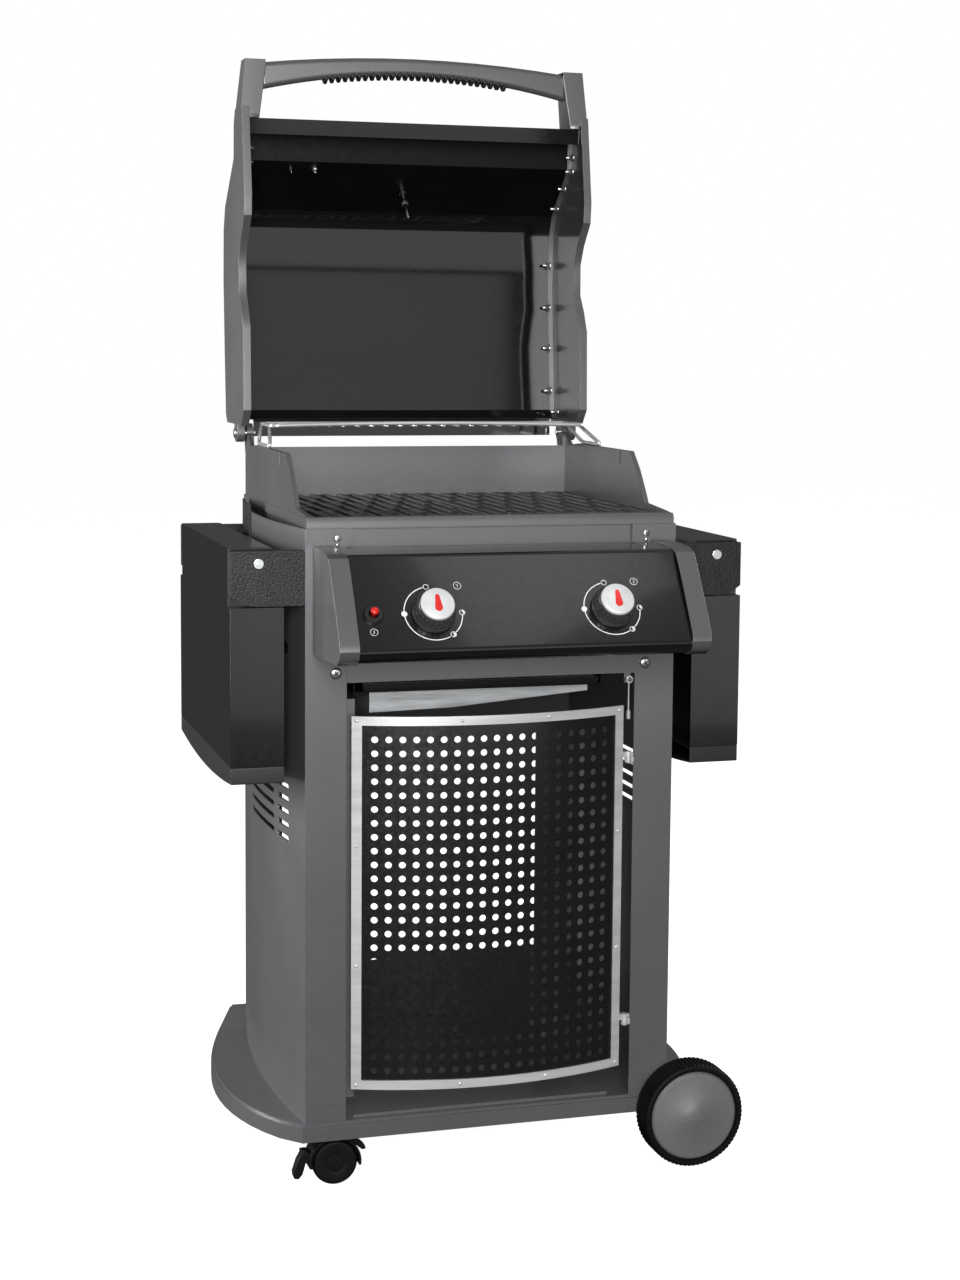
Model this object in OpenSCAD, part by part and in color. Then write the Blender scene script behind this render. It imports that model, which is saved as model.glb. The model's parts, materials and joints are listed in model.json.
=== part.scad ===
// Two-burner gas barbecue grill on a wheeled cart. Millimetres, +X right, +Y back, +Z up.
// Working frame: x = 0 on the centre plane, y = 0 on the front face of the posts, z = 0 on the ground.
// Rest pose: lid open, side tables folded down, door shut. home() moves the working frame to the origin.

/* [Cart] */
// Half of the cart's width over the side panels' corners
frame_half = 268.5; // [240:0.5:280]
// Depth of the side panels
frame_d = 464; // [400:1:520]
// Height of the side panels' top edge
frame_top = 933; // [880:1:980]
// Width of the flanges that face the front and the back on each side panel
post_w = 58.5; // [40:0.5:80]
// How far the side panels bulge outward at mid depth
panel_bow = 20; // [0:1:24]
// Height of the base panel's top skin
base_top = 100; // [92:1:110]
// Height of the base panel's rim
base_rim = 26; // [22:1:30]
// Depth of the base panel
base_d = 592; // [540:1:640]
// How far the base panel's wings bulge past its corners
wing_bulge = 83; // [60:1:95]

/* [Rolling gear] */
// Radius of the large wheels
wheel_r = 76; // [70:1:80]
// Width of the large wheels
wheel_w = 45; // [36:1:50]
// Distance of the wheel axle from the centre plane
wheel_x = 295; // [288:1:298]
// Radius of the caster wheels
caster_r = 32.5; // [28:0.5:34]
// Distance of the caster stems from the centre plane
caster_x = 208; // [180:1:225]

/* [Firebox and lid] */
// Half of the firebox's outside width
box_half = 263.5; // [240:0.5:264]
// Height of the cooking grates' top face
grate_top = 947; // [940:1:960]
// Height of the lid's hinge axis
hinge_z = 1042.5; // [1035:0.5:1050]
// Depth of the lid's hinge axis behind the posts' front face
hinge_y = 490; // [480:1:500]
// Half of the width over the lid's end castings
lid_half = 277; // [272:0.5:282]

/* [Control panel] */
// Half of the black panel's width
face_half = 231; // [200:1:240]
// Distance of each knob's axis from the centre plane
knob_x = 125; // [90:1:150]
// Height of a knob above the panel face
knob_h = 31; // [24:1:36]

/* [Side tables] */
// Outer face of a folded table from the centre plane
table_out = 371; // [350:1:385]
// Thickness of a table
table_t = 74; // [60:1:76]
// Distance of the pivot pins from the centre plane
pivot_x = 332.5; // [328:0.5:336]
// Height of the pivot pins
pivot_z = 887; // [880:1:895]

/* [Door] */
// Width of the door between its side edges
door_w = 394; // [360:1:396]
// How far the door bows forward in the middle
door_bow = 38; // [20:1:50]
// Height of the door's lower edge
door_low = 149.5; // [130:0.5:170]
// Height of the door's upper edge
door_high = 675.5; // [640:0.5:676]

/* [Hidden] */
$fn = 64;
// Length that makes a cut run past the faces it cuts
eps = 0.5;
// Sheet thickness of the cart's panels
sheet = 3;
// Raised foot of the base panel under the side panels, and how far it is set in
plinth_h = 26;
plinth_inset = 1.2;
// Radial clearance of a running pin
run_gap = 0.05;
post_inner = frame_half - post_w;
base_front = -2;
base_bottom = base_top - base_rim;
base_half = 272;
bearing_y = [64, 478];
wheel_front_y = base_front - 1 - wheel_w;
wheel_rear_y = base_front + base_d + 3;
axle_r = 5;
rim_r = 65;
caster_y = [40, 545];
brake_at = [-41.5, 42];
stem_r = 5.5;
// Control panel face, a plane that leans back from its lower edge, as [y, z]
face_high = [-92, 901];
face_low = [-167, 789.5];
face_dir = (face_low - face_high) / norm(face_low - face_high);
face_out = [face_dir[1], -face_dir[0]];
face_tilt = atan2(-face_out[0], face_out[1]);
knob_at = face_high + 84 * face_dir;
igniter_x = -206.5;
crown_r = 24;
manifold = [-80, 795];
burner_z = 845;
// Door curve in plan
door_x = -8;
door_edge_y = -9;
door_r = (pow(door_w / 2, 2) + pow(door_bow, 2)) / (2 * door_bow);
door_centre = [door_x, door_edge_y - door_bow + door_r];
door_angle = asin(door_w / 2 / door_r);
door_strip = 12.5;
door_axis = [199, -7];
door_lugs = [216, 600];
match_at = [199, 712];
// Folded side table
table_in = table_out - table_t;
table_y0 = 2;
table_y1 = 448;
arm_w = 18;
table_top = 907.5;
arm_low = 828.5;
arm_high = 904;
arm_reach = pivot_z - arm_low;
table_seam = 608;
table_skin = 2.5;
// Firebox: ledge that carries the grates, ledge that carries the tents
ledge_z = grate_top - 11;
tent_z = 888;
// Lid end casting in the open pose as [y, z], from the lower front corner round the top
lid_outline = [[443, 1056], [421, 1080], [425, 1204], [442, 1237], [460, 1262], [461, 1310],
               [445, 1340], [414, 1375], [411, 1407], [424, 1489], [433, 1540], [492, 1540],
               [503, 1518], [505, 1466], [540, 1435], [584, 1396], [598, 1361], [601, 1280],
               [591, 1158], [582, 1069], [570, 1056]];
// Lid shroud's outer face in the open pose, closed by a straight front
shroud_outline = [[437, 1499], [437, 1523], [490, 1523], [499, 1514], [501, 1465], [580, 1394],
                  [594, 1360], [597, 1280], [587, 1158], [578, 1074], [566, 1062], [515, 1062],
                  [437, 1062]];
shroud_half = 265;
rear_lip_half = 245;
handle_half = 246;
thermo_at = [540.5, 1429.5];
thermo_tilt = atan2(-79, 71) + 90;
// Front and rear limits of the whole row in the working frame
row_front = knob_at[0] + knob_h * face_out[0] + crown_r * face_dir[0];
row_rear = wheel_rear_y + wheel_w;
home_y = -(row_front + row_rear) / 2;

// ---- Shapes shared by the nodes

module home() {
    translate([0, home_y, 0])
        children();
}

module mirror_x() {
    children();
    mirror([1, 0, 0])
        children();
}

// Block between two corners
module block(low, high) {
    translate(low)
        cube(high - low);
}

// Outline in [y, z] extruded from x0 to x1
module across(x0, x1) {
    translate([x0, 0, 0])
        rotate([90, 0, 90])
            linear_extrude(x1 - x0)
                children();
}

// Outline in [x, z] extruded from y0 to y1
module along(y0, y1) {
    translate([0, y1, 0])
        rotate([90, 0, 0])
            linear_extrude(y1 - y0)
                children();
}

// Round bar between two points
module rod(p, q, r) {
    d = q - p;
    translate(p)
        rotate([0, acos(d[2] / norm(d)), atan2(d[1], d[0])])
            cylinder(h = norm(d), r = r);
}

// Round bar along Y
module rod_y(x, z, y0, y1, r) {
    translate([x, y0, z])
        rotate([-90, 0, 0])
            cylinder(h = y1 - y0, r = r);
}

// Round bar along X
module rod_x(y, z, x0, x1, r) {
    translate([x0, y, z])
        rotate([0, 90, 0])
            cylinder(h = x1 - x0, r = r);
}

module slot(length, height) {
    square([length - height, height], center = true);
    for (s = [-1, 1])
        translate([s * (length - height) / 2, 0])
            circle(height / 2, $fn = 24);
}

// Places children on the control panel face, +Z out of the face
module on_face(x) {
    translate([x, knob_at[0], knob_at[1]])
        rotate([face_tilt, 0, 0])
            children();
}

// Places children on the lid's slope in the open pose, +Z out of the lid
module on_slope() {
    translate([0, thermo_at[0], thermo_at[1]])
        rotate([-thermo_tilt, 0, 0])
            children();
}

// ---- Cart

function wing(t) = base_half + wing_bulge * sin(180 * pow(t, 0.75));

module base_outline() {
    steps = [0:0.05:1];
    right = [for (t = steps) [wing(t), base_front + base_d * t]];
    left = [for (t = steps) [-wing(1 - t), base_front + base_d * (1 - t)]];
    polygon(concat(right, left));
}

module base_panel() {
    color("#8d9196")
        home() {
            difference() {
                union() {
                    translate([0, 0, base_bottom])
                        linear_extrude(base_rim - 4)
                            base_outline();
                    translate([0, 0, base_top - 4 - eps])
                        linear_extrude(4 + eps)
                            offset(delta = -4)
                                base_outline();
                    translate([0, 0, base_top - eps])
                        linear_extrude(4 + eps)
                            intersection() {
                                door_plan(-12, -300);
                                translate([-200, 12])
                                    square([400, 440]);
                            }
                }
                translate([0, 0, base_bottom - eps])
                    linear_extrude(base_rim - 3 + eps)
                        offset(delta = -7)
                            base_outline();
                translate([0, 0, base_bottom - eps])
                    linear_extrude(base_rim - 6)
                        offset(delta = -3)
                            base_outline();
                rod_y(wheel_x, wheel_r, base_front - 1, base_front + base_d + 1, 10);
            }
            mirror_x()
                translate([0, 0, base_top - eps])
                    linear_extrude(plinth_h + eps)
                        post_plan(plinth_inset);
            for (y = bearing_y)
                difference() {
                    block([wheel_x - 14, y - 4, 62], [wheel_x + 10, y + 4, base_top - 3]);
                    rod_y(wheel_x, wheel_r, y - 5, y + 5, axle_r + run_gap);
                }
        }
}

function bow(y) = panel_bow * (1 - pow(2 * y / frame_d - 1, 2));

// Solid region of the cart's right half inside the bowed face, in plan
module panel_region(inset) {
    n = 16;
    face = [for (i = [0:n]) let (y = i * frame_d / n)
        [frame_half - inset + bow(y), min(max(y, inset), frame_d - inset)]];
    polygon(concat([[post_inner - 1, inset]], face, [[post_inner - 1, frame_d - inset]]));
}

// Plan of a side panel with its front and back flanges
module post_plan(inset) {
    intersection() {
        difference() {
            panel_region(inset);
            panel_region(inset + sheet);
        }
        translate([post_inner, -1])
            square([200, frame_d + 2]);
    }
}

module side_panel_shape() {
    rows = [491, 509.6, 528.2, 546.8, 565];
    panel_low = base_top + plinth_h;
    difference() {
        translate([0, 0, panel_low])
            linear_extrude(frame_top - panel_low)
                post_plan(0);
        across(255, 300) {
            for (z = rows) {
                translate([217.5, z])
                    slot(159, 7);
                translate([92.5, z])
                    slot(51, 7);
            }
            translate([95, 760])
                slot(50, 16);
        }
        for (hole = [[225.5, 734], [224, 920]])
            rod_y(hole[0], hole[1], -1, sheet + 1, 4.1);
        for (z = [150, 905])
            rod_y(225, z, frame_d - sheet - 1, frame_d + 1, 4.1);
    }
}

// Flange behind the door's free edge
module door_stop() {
    block([-post_inner - sheet, 0, 130], [-post_inner, 15, 696]);
    block([-post_inner - sheet, 12, 130], [-196, 15, 696]);
}

module side_panel_left() {
    color("#8d9196")
        home() {
            mirror([1, 0, 0])
                side_panel_shape();
            door_stop();
        }
}

module side_panel_right() {
    color("#8d9196")
        home()
            side_panel_shape();
}

module front_cross_member() {
    color("#8d9196")
        home()
            difference() {
                union() {
                    block([-post_inner, 0, 720], [post_inner, 2.5, 750]);
                    block([-post_inner, 0, 720], [post_inner, 25, 722.5]);
                    block([-post_inner, 0, 747.5], [post_inner, 25, 750]);
                    mirror_x() {
                        block([post_inner - 12, 2, 721], [post_inner, 5.5, 749]);
                        block([post_inner - 12, sheet, 723], [post_inner + 26, 5.5, 747]);
                    }
                    block([match_at[0] - 5, 0, match_at[1] - 6], [match_at[0] + 5, 2.5, 721]);
                    rod_y(match_at[0], match_at[1], -10, 1, 2);
                    rod_y(match_at[0], match_at[1], -12, -10, 3.5);
                }
                mirror_x()
                    rod_y(225.5, 734, 2, 7, 4.1);
            }
}

module front_top_rail() {
    color("#8d9196")
        home()
            difference() {
                union() {
                    block([-post_inner + 2, 5, 895], [post_inner - 2, 7.5, frame_top]);
                    mirror_x()
                        block([post_inner - 5, sheet, 900], [post_inner + 30, 7.5, frame_top - 2]);
                }
                mirror_x()
                    rod_y(224, 920, 2, 9, 4.1);
            }
}

module corner_plates() {
    color("#a9adb2")
        home()
            mirror_x()
                difference() {
                    block([203, -1.5, 909.5], [frame_half, 0, frame_top]);
                    rod_y(224, 920, -3, 2, 4.1);
                }
}

module rear_lower_panel() {
    color("#8d9196")
        home()
            difference() {
                block([-238, frame_d - 6.8, base_top], [238, frame_d - 4.3, 195]);
                mirror_x()
                    rod_y(225, 150, frame_d - 8, frame_d, 4.1);
            }
}

module rear_upper_panel() {
    color("#8d9196")
        home()
            difference() {
                block([-238, frame_d - sheet - 2.5, 578], [238, frame_d - sheet, 925]);
                mirror_x()
                    rod_y(225, 905, frame_d - sheet - 4, frame_d, 4.1);
            }
}

module frame_screws() {
    color("#5c6064")
        home()
            mirror_x() {
                rod_y(225.5, 734, -3, 0, 9);
                rod_y(225.5, 734, -1, 8, 4);
                rod_y(224, 920, -3.5, -1.5, 6.5);
                rod_y(224, 920, -2, 7.5, 4);
                for (z = [150, 905]) {
                    rod_y(225, z, frame_d, frame_d + 2.5, 7);
                    rod_y(225, z, frame_d - 7.5, frame_d + 1, 4);
                }
            }
}

module door_hinge_brackets() {
    color("#a9adb2")
        home()
            for (z = door_lugs)
                difference() {
                    union() {
                        block([203, sheet, z - 12], [236, 6, z + 4]);
                        block([door_axis[0], door_axis[1], z - 8], [208, 4, z]);
                        translate([door_axis[0], door_axis[1], z - 8])
                            cylinder(h = 8, r = 5);
                    }
                    translate([door_axis[0], door_axis[1], z - 9])
                        cylinder(h = 10, r = 3 + run_gap);
                }
}

module tray_rails() {
    color("#5c6064")
        home()
            for (s = [[-200, 1], [162, -1]])
                translate([s[0], 0, 0])
                    scale([s[1], 1, 1]) {
                        block([0, 4, 704], [2, 340, 720]);
                        block([0, 4, 704], [17, 340, 706.5]);
                        block([0, 318, 719], [2, 338, 752]);
                    }
}

module match_holder() {
    color("#b9bcc0")
        home() {
            difference() {
                rod_y(match_at[0], match_at[1], -9.5, -3, 5);
                rod_y(match_at[0], match_at[1], -11, -1, 2 + run_gap);
            }
            rod([match_at[0], -6, match_at[1] - 4], [match_at[0], -6, 664], 1.2);
            rod([match_at[0], -6, 667], [match_at[0], -6, 655], 3);
        }
}

// ---- Firebox

module cookbox() {
    color("#6f7378")
        home() {
            difference() {
                union() {
                    across(-box_half, box_half)
                        polygon([[8, ledge_z], [8, 830], [70, 752], [394, 752], [456, 830], [456, ledge_z]]);
                    across(-box_half - 2.5, box_half + 2.5)
                        polygon([[0, frame_top], [0, 941], [3, 947.5], [483, 947.5], [483, frame_top]]);
                    across(-box_half, box_half)
                        polygon([[3, 940], [3, 948], [31, 950.5], [96, 955], [110, 973.5], [135, 1003],
                                 [163, 1027.5], [403, 1027.5], [483, 1020], [483, 940]]);
                    mirror_x()
                        across(252, 262) {
                            translate([hinge_y, hinge_z])
                                circle(15);
                            polygon([[440, 990], [483, 990], [505, hinge_z], [475, hinge_z], [440, 1022]]);
                        }
                }
                block([-256, 12, ledge_z], [256, 468, 1060]);
                across(-248, 248)
                    polygon([[16, ledge_z + 1], [16, 835], [74, 757], [390, 757], [448, 835],
                             [448, ledge_z + 1]]);
                across(-258, 258)
                    polygon([[12, 925], [12, 832], [72, 757], [392, 757], [452, 832], [452, 925]]);
                block([-165, 150, 740], [165, 320, 770]);
                mirror_x() {
                    rod_y(knob_x, burner_z, 0, 20, 12 + run_gap);
                    rod_x(hinge_y, hinge_z, 240, 270, axle_r + run_gap);
                    block([250, 201, 1006], [270, 207, 1030]);
                }
            }
            for (y = [11, 443])
                block([-259, y, tent_z - 6], [259, y + 10, tent_z]);
        }
}

module grate_shape() {
    for (i = [0:11])
        block([2.5 + i * 22.1, 13.5, grate_top - 9], [10.5 + i * 22.1, 463, grate_top]);
    for (y = [13.5, 159, 310, 455])
        block([2.5, y, grate_top - 11], [253.6, y + 8, grate_top - 3]);
}

module grate_left() {
    color("#1c1d1f")
        home()
            mirror([1, 0, 0])
                grate_shape();
}

module grate_right() {
    color("#1c1d1f")
        home()
            grate_shape();
}

module heat_tents() {
    color("#54565a")
        home()
            for (i = [-3:3])
                translate([i * 63, 0, 0])
                    along(14, 450)
                        polygon([[-26, tent_z], [0, tent_z + 26], [26, tent_z], [23.6, tent_z],
                                 [0, tent_z + 23.6], [-23.6, tent_z]]);
}

module burner_tubes() {
    color("#9a9da1")
        home() {
            difference() {
                union() {
                    mirror_x() {
                        rod_y(knob_x, burner_z, -57, 430, 12);
                        rod_y(knob_x, burner_z, 428, 452, 4);
                    }
                    rod_x(415, burner_z, -knob_x, knob_x, 6);
                }
                mirror_x()
                    rod_y(knob_x, burner_z, -58, 426, 10.5);
                rod_x(415, burner_z, -knob_x, knob_x, 4.5);
                mirror_x()
                    for (y = [60:24:396])
                        rod_x(y, burner_z + 3, knob_x - 20, knob_x + 20, 1.6);
            }
        }
}

module gas_manifold() {
    color("#8f9296")
        home() {
            difference() {
                union() {
                    rod_x(manifold[0], manifold[1], -255, 255, 8);
                    rod([200, manifold[0], manifold[1]], [200, manifold[0] + 45, manifold[1] - 18], 7);
                }
                rod_x(manifold[0], manifold[1], -240, 240, 6);
                rod([200, manifold[0], manifold[1]], [200, manifold[0] + 50, manifold[1] - 20], 5);
            }
        }
}

module gas_valves() {
    color("#b8964d")
        home()
            for (x = [-knob_x, knob_x])
                difference() {
                    union() {
                        on_face(x)
                            translate([0, 0, -69])
                                cylinder(h = 49, r = 12);
                        rod([x, -101.6, 806.2], [x, -60, 843], 5);
                    }
                    on_face(x)
                        translate([0, 0, -42])
                            cylinder(h = 30, r = 3 + run_gap);
                    rod_x(manifold[0], manifold[1], x - 20, x + 20, 8);
                    rod([x, -101.6, 806.2], [x, -59, 844], 2.5);
                }
}

module igniter_electrode() {
    color("#e8e6df")
        home() {
            rod_y(-100, 866, 12, 64, 4);
            rod_y(-100, 866, 62, 92, 1.3);
        }
}

module warming_rack() {
    color("#c9ccd0")
        home() {
            for (y = [352, 440])
                rod_x(y, 1059, -247, 247, 3);
            for (x = [-247, 247])
                rod_y(x, 1059, 352, 440, 3);
            for (i = [1:21])
                rod_y(-247 + i * 22.45, 1061, 352, 440, 1.6);
        }
}

module rack_legs() {
    color("#c9ccd0")
        home()
            mirror_x() {
                rod([247, 366, 1052.6], [259.7, 300, 1030.4], 2.9);
                rod([247, 432, 1052.6], [259.7, 392, 1030.4], 2.9);
                rod_y(259.7, 1030.4, 297, 395, 2.9);
            }
}

module grease_tray() {
    color("#3a3c3f")
        home() {
            block([-190, -12, 711], [152, -8, 719]);
            difference() {
                block([-188, -9, 707], [150, 330, 717]);
                block([-180, 0, 700], [142, 322, 720]);
            }
        }
}

module drip_pan() {
    color("#b4b7ba")
        home() {
            difference() {
                block([-186, -4, 717], [148, 326, 718.5]);
                block([-176, 4, 700], [138, 318, 720]);
            }
            difference() {
                along(2, 320)
                    polygon([[-178, 718], [-178, 677], [-60, 680], [140, 697], [140, 718]]);
                along(4, 318)
                    polygon([[-176, 720], [-176, 679], [-60, 682], [138, 699], [138, 720]]);
            }
        }
}

// ---- Control panel

module face_outline() {
    polygon([[0, 907], [-40, 907.5], [-84, 905], face_high, face_low, [-168, 784], [-163, 775],
             [-150, 768.5], [0, 768.5]]);
}

module control_panel() {
    color("#151617")
        home()
            difference() {
                across(-face_half, face_half)
                    difference() {
                        face_outline();
                        offset(delta = -2)
                            face_outline();
                        translate([-146, 760])
                            square([160, 12]);
                        translate([-3, 760])
                            square([10, 144]);
                    }
                for (x = [-knob_x, knob_x])
                    on_face(x)
                        translate([0, 0, -6])
                            cylinder(h = 12, r = 7);
                on_face(igniter_x)
                    translate([0, 0, -6])
                        cylinder(h = 12, r = 9);
            }
}

module end_outline() {
    polygon([[0, 909], [-40, 910], [-84, 907], [-100, 902], [-118, 877.5], [-145, 836], [-169, 797],
             [-171, 787], [-166, 776], [-152, 767], [0, 761.5]]);
}

module panel_end_shape() {
    difference() {
        across(face_half, 258)
            end_outline();
        across(face_half - 1, 255)
            difference() {
                offset(delta = -3)
                    end_outline();
                translate([-3, 750])
                    square([10, 200]);
            }
        across(face_half - 1, face_half + 1)
            face_outline();
    }
}

module panel_end_left() {
    color("#8d9196")
        home()
            mirror([1, 0, 0])
                panel_end_shape();
}

module panel_end_right() {
    color("#8d9196")
        home()
            panel_end_shape();
}

module igniter_socket() {
    color("#1f2022")
        home()
            on_face(igniter_x)
                difference() {
                    union() {
                        cylinder(h = 5, r = 14);
                        translate([0, 0, -30])
                            cylinder(h = 30, r = 9);
                    }
                    translate([0, 0, -14])
                        cylinder(h = 30, r = 6);
                }
}

module igniter_button() {
    color("#b3201b")
        home()
            on_face(igniter_x)
                translate([0, 0, -8])
                    cylinder(h = 23, r = 5.5);
}

module knob_shape(x) {
    on_face(x) {
        difference() {
            union() {
                translate([0, 0, 0.5])
                    cylinder(h = 6.5, r = 30);
                translate([0, 0, 7])
                    cylinder(h = knob_h - 11, r1 = 28, r2 = 25);
                translate([0, 0, knob_h - 4])
                    cylinder(h = 4, r = crown_r);
            }
            translate([0, 0, -1])
                cylinder(h = 8, r = 22);
        }
        translate([0, 0, -41])
            cylinder(h = 50, r = 3);
    }
}

module knob_left() {
    color("#c4c7ca")
        home()
            knob_shape(-knob_x);
}

module knob_right() {
    color("#c4c7ca")
        home()
            knob_shape(knob_x);
}

// ---- Lid, drawn in the open pose

module lid_shroud() {
    color("#101112")
        home() {
            difference() {
                across(-shroud_half, shroud_half)
                    difference() {
                        polygon(shroud_outline);
                        offset(delta = -2)
                            polygon(shroud_outline);
                        translate([430, 1050])
                            square([50, 449]);
                        translate([430, 1050])
                            square([85, 16]);
                    }
                on_slope()
                    translate([0, 0, -10])
                        cylinder(h = 20, r = 6);
            }
            rear_lip();
        }
}

// Lip below the lid's back sheet, between the hinge pins
module rear_lip() {
    block([-rear_lip_half, 515, 1036], [rear_lip_half, 517, 1063.5]);
}

module lid_end_shape() {
    difference() {
        union() {
            across(shroud_half, lid_half) {
                polygon(lid_outline);
                translate([hinge_y, hinge_z])
                    circle(14);
                translate([hinge_y - 14, hinge_z])
                    square([28, 24]);
            }
            hull() {
                block([249, 436, 1523.5], [lid_half, 492, 1530]);
                block([238, 443, 1598], [270, 475, 1612]);
            }
        }
        along(446.5, 471.5)
            offset(delta = 0.3)
                handle_band(0);
        across(shroud_half - 1, lid_half - 4)
            offset(delta = -5)
                polygon(lid_outline);
        block([250, 430, 1500], [shroud_half, 500, 1523]);
        rod_x(hinge_y, hinge_z, 260, 280, axle_r);
    }
}

module lid_end_left() {
    color("#9b9fa3")
        home()
            mirror([1, 0, 0])
                lid_end_shape();
}

module lid_end_right() {
    color("#9b9fa3")
        home()
            lid_end_shape();
}

// Handle seen from the front: a band between two arcs
module handle_band(drop) {
    upper = [for (i = [-10:10]) [i * handle_half / 10, 1623 - 15 * pow(i / 10, 2) - drop]];
    lower = [for (i = [-10:10]) [-i * handle_half / 10, 1597 - 30 * pow(i / 10, 2) - drop]];
    polygon(concat(upper, lower));
}

module lid_handle() {
    color("#9b9fa3")
        home()
            along(447, 471)
                handle_band(0);
}

module handle_grip() {
    color("#17181a")
        home()
            along(450, 468)
                difference() {
                    intersection() {
                        handle_band(8);
                        for (i = [-14:13])
                            translate([i * 10.6 + 3.8, 1500])
                                square([3, 160]);
                    }
                    handle_band(0);
                }
}

module lid_hinge_pins() {
    color("#b9bcc0")
        home()
            mirror_x() {
                rod_x(hinge_y, hinge_z, 247, lid_half + 1, axle_r);
                rod_x(hinge_y, hinge_z, lid_half, lid_half + 3, 8);
            }
}

module thermometer_case() {
    color("#c4c7ca")
        home()
            on_slope()
                difference() {
                    union() {
                        cylinder(h = 16, r = 31);
                        translate([0, 0, -12])
                            cylinder(h = 13, r = 6);
                        translate([0, 0, -66])
                            cylinder(h = 60, r = 3);
                    }
                    translate([0, 0, 9])
                        cylinder(h = 10, r = 28);
                    translate([0, 0, 4])
                        cylinder(h = 10, r = 1.5 + run_gap);
                }
}

module thermometer_needle() {
    color("#c0301f")
        home()
            on_slope()
                rotate([0, 0, 135]) {
                    translate([0, 0, 4.5])
                        cylinder(h = 7, r = 1.5);
                    translate([0, 0, 10])
                        cylinder(h = 1.5, r = 4);
                    translate([-6, -1.2, 10])
                        cube([30, 2.4, 1]);
                }
}

// ---- Side tables, drawn folded down

module table_arms_shape() {
    for (y = [0, table_y1 + 2 - arm_w])
        difference() {
            along(y, y + arm_w)
                intersection() {
                    translate([262, arm_low])
                        square([table_out - 263, arm_high - arm_low]);
                    union() {
                        translate([pivot_x, pivot_z])
                            circle(arm_reach);
                        translate([262, arm_low])
                            square([pivot_x - 262, arm_high - arm_low]);
                    }
                }
            translate([0, 0, arm_low - 1])
                linear_extrude(arm_high - arm_low + 2)
                    panel_region(0);
            rod_y(pivot_x, pivot_z, y - 1, y + arm_w + 1, 5);
        }
    arm_plate();
}

// Curved plate that steadies the rear arm against the side panel
module arm_plate() {
    translate([0, 0, 880])
        linear_extrude(64)
            intersection() {
                difference() {
                    panel_region(-3.4);
                    panel_region(-0.4);
                }
                translate([262, 310])
                    square([60, 130]);
            }
}

module table_arms_left() {
    color("#1f2022")
        home()
            mirror([1, 0, 0])
                table_arms_shape();
}

module table_arms_right() {
    color("#1f2022")
        home()
            table_arms_shape();
}

// Table body seen from the front: square outer corner, rounded inner corner
module table_outline() {
    translate([table_in + 20, table_top - 20])
        circle(20);
    translate([table_in + 20, pivot_z - 61])
        square([table_t - 20, table_top - pivot_z + 61]);
    translate([table_in, pivot_z - 61])
        square([table_t, 41 + table_top - pivot_z]);
}

module table_shape() {
    y_in = arm_w + 0.6;
    low = arm_low - 1.5;
    difference() {
        union() {
            along(y_in, table_y1 + 2 - y_in)
                table_outline();
            block([table_in, table_y0, table_seam], [table_out, table_y1, low]);
        }
        along(y_in + table_skin, table_y1 + 2 - y_in - table_skin)
            intersection() {
                offset(delta = -table_skin)
                    table_outline();
                translate([table_in + 1, low - table_skin])
                    square([table_t, 200]);
            }
        block([table_in - 1, y_in + table_skin, table_seam + table_skin],
              [table_out - table_skin, table_y1 + 2 - y_in - table_skin, table_top - 20]);
        block([table_in - 1, table_y0 + table_skin, table_seam + table_skin],
              [table_out - table_skin, table_y1 - table_skin, low - table_skin]);
    }
    for (y = [y_in, table_y1 + 2 - y_in - 7])
        difference() {
            rod_y(pivot_x, pivot_z, y, y + 7, 10);
            rod_y(pivot_x, pivot_z, y - 1, y + 8, 5 + run_gap);
        }
    for (y = [150, 300])
        block([table_in + 30, y - 1.5, table_seam], [table_out - 1, y + 1.5, table_top - 3]);
}

module table_shape_bored() {
    difference() {
        table_shape();
        for (y = [arm_w, table_y1 + 2 - arm_w - 9])
            rod_y(pivot_x, pivot_z, y, y + 9, 5 + run_gap);
    }
}

module table_left() {
    color("#151617")
        home()
            mirror([1, 0, 0])
                table_shape_bored();
}

module table_right() {
    color("#151617")
        home()
            table_shape_bored();
}

module table_end_shape() {
    tip = [for (i = [-10:10]) [225 + i * 22.3, 573 + 12 * pow(i / 10, 2)]];
    difference() {
        across(table_in, table_out)
            polygon(concat(tip, [[table_y1, table_seam], [table_y0, table_seam]]));
        across(table_in - 1, table_out - 3)
            offset(delta = -3)
                polygon(concat(tip, [[table_y1, table_seam], [table_y0, table_seam]]));
    }
}

module table_end_left() {
    color("#1d1e20")
        home()
            mirror([1, 0, 0])
                table_end_shape();
}

module table_end_right() {
    color("#1d1e20")
        home()
            table_end_shape();
}

module table_pins() {
    color("#b9bcc0")
        home()
            mirror_x() {
                rod_y(pivot_x, pivot_z, -1, arm_w + 8, 5);
                rod_y(pivot_x, pivot_z, table_y1 - arm_w - 6, table_y1 + 3, 5);
                for (y = [-2.5, table_y1 + 2])
                    rod_y(pivot_x, pivot_z, y, y + 2.5, 7.5);
            }
}

// ---- Door

// Plan region between two offsets of the door's curve
module door_plan(outer, inner) {
    n = 16;
    far = [for (i = [-n:n]) let (a = door_angle * i / n)
        door_centre + (door_r + outer) * [sin(a), -cos(a)]];
    near = [for (i = [-n:n]) let (a = -door_angle * i / n)
        door_centre + (door_r + inner) * [sin(a), -cos(a)]];
    polygon(concat(far, near));
}

module door_panel() {
    color("#17181a")
        home()
            translate([0, 0, door_low + 1])
                linear_extrude(door_high - door_low - 2)
                    door_plan(0, -1.5);
}

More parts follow.
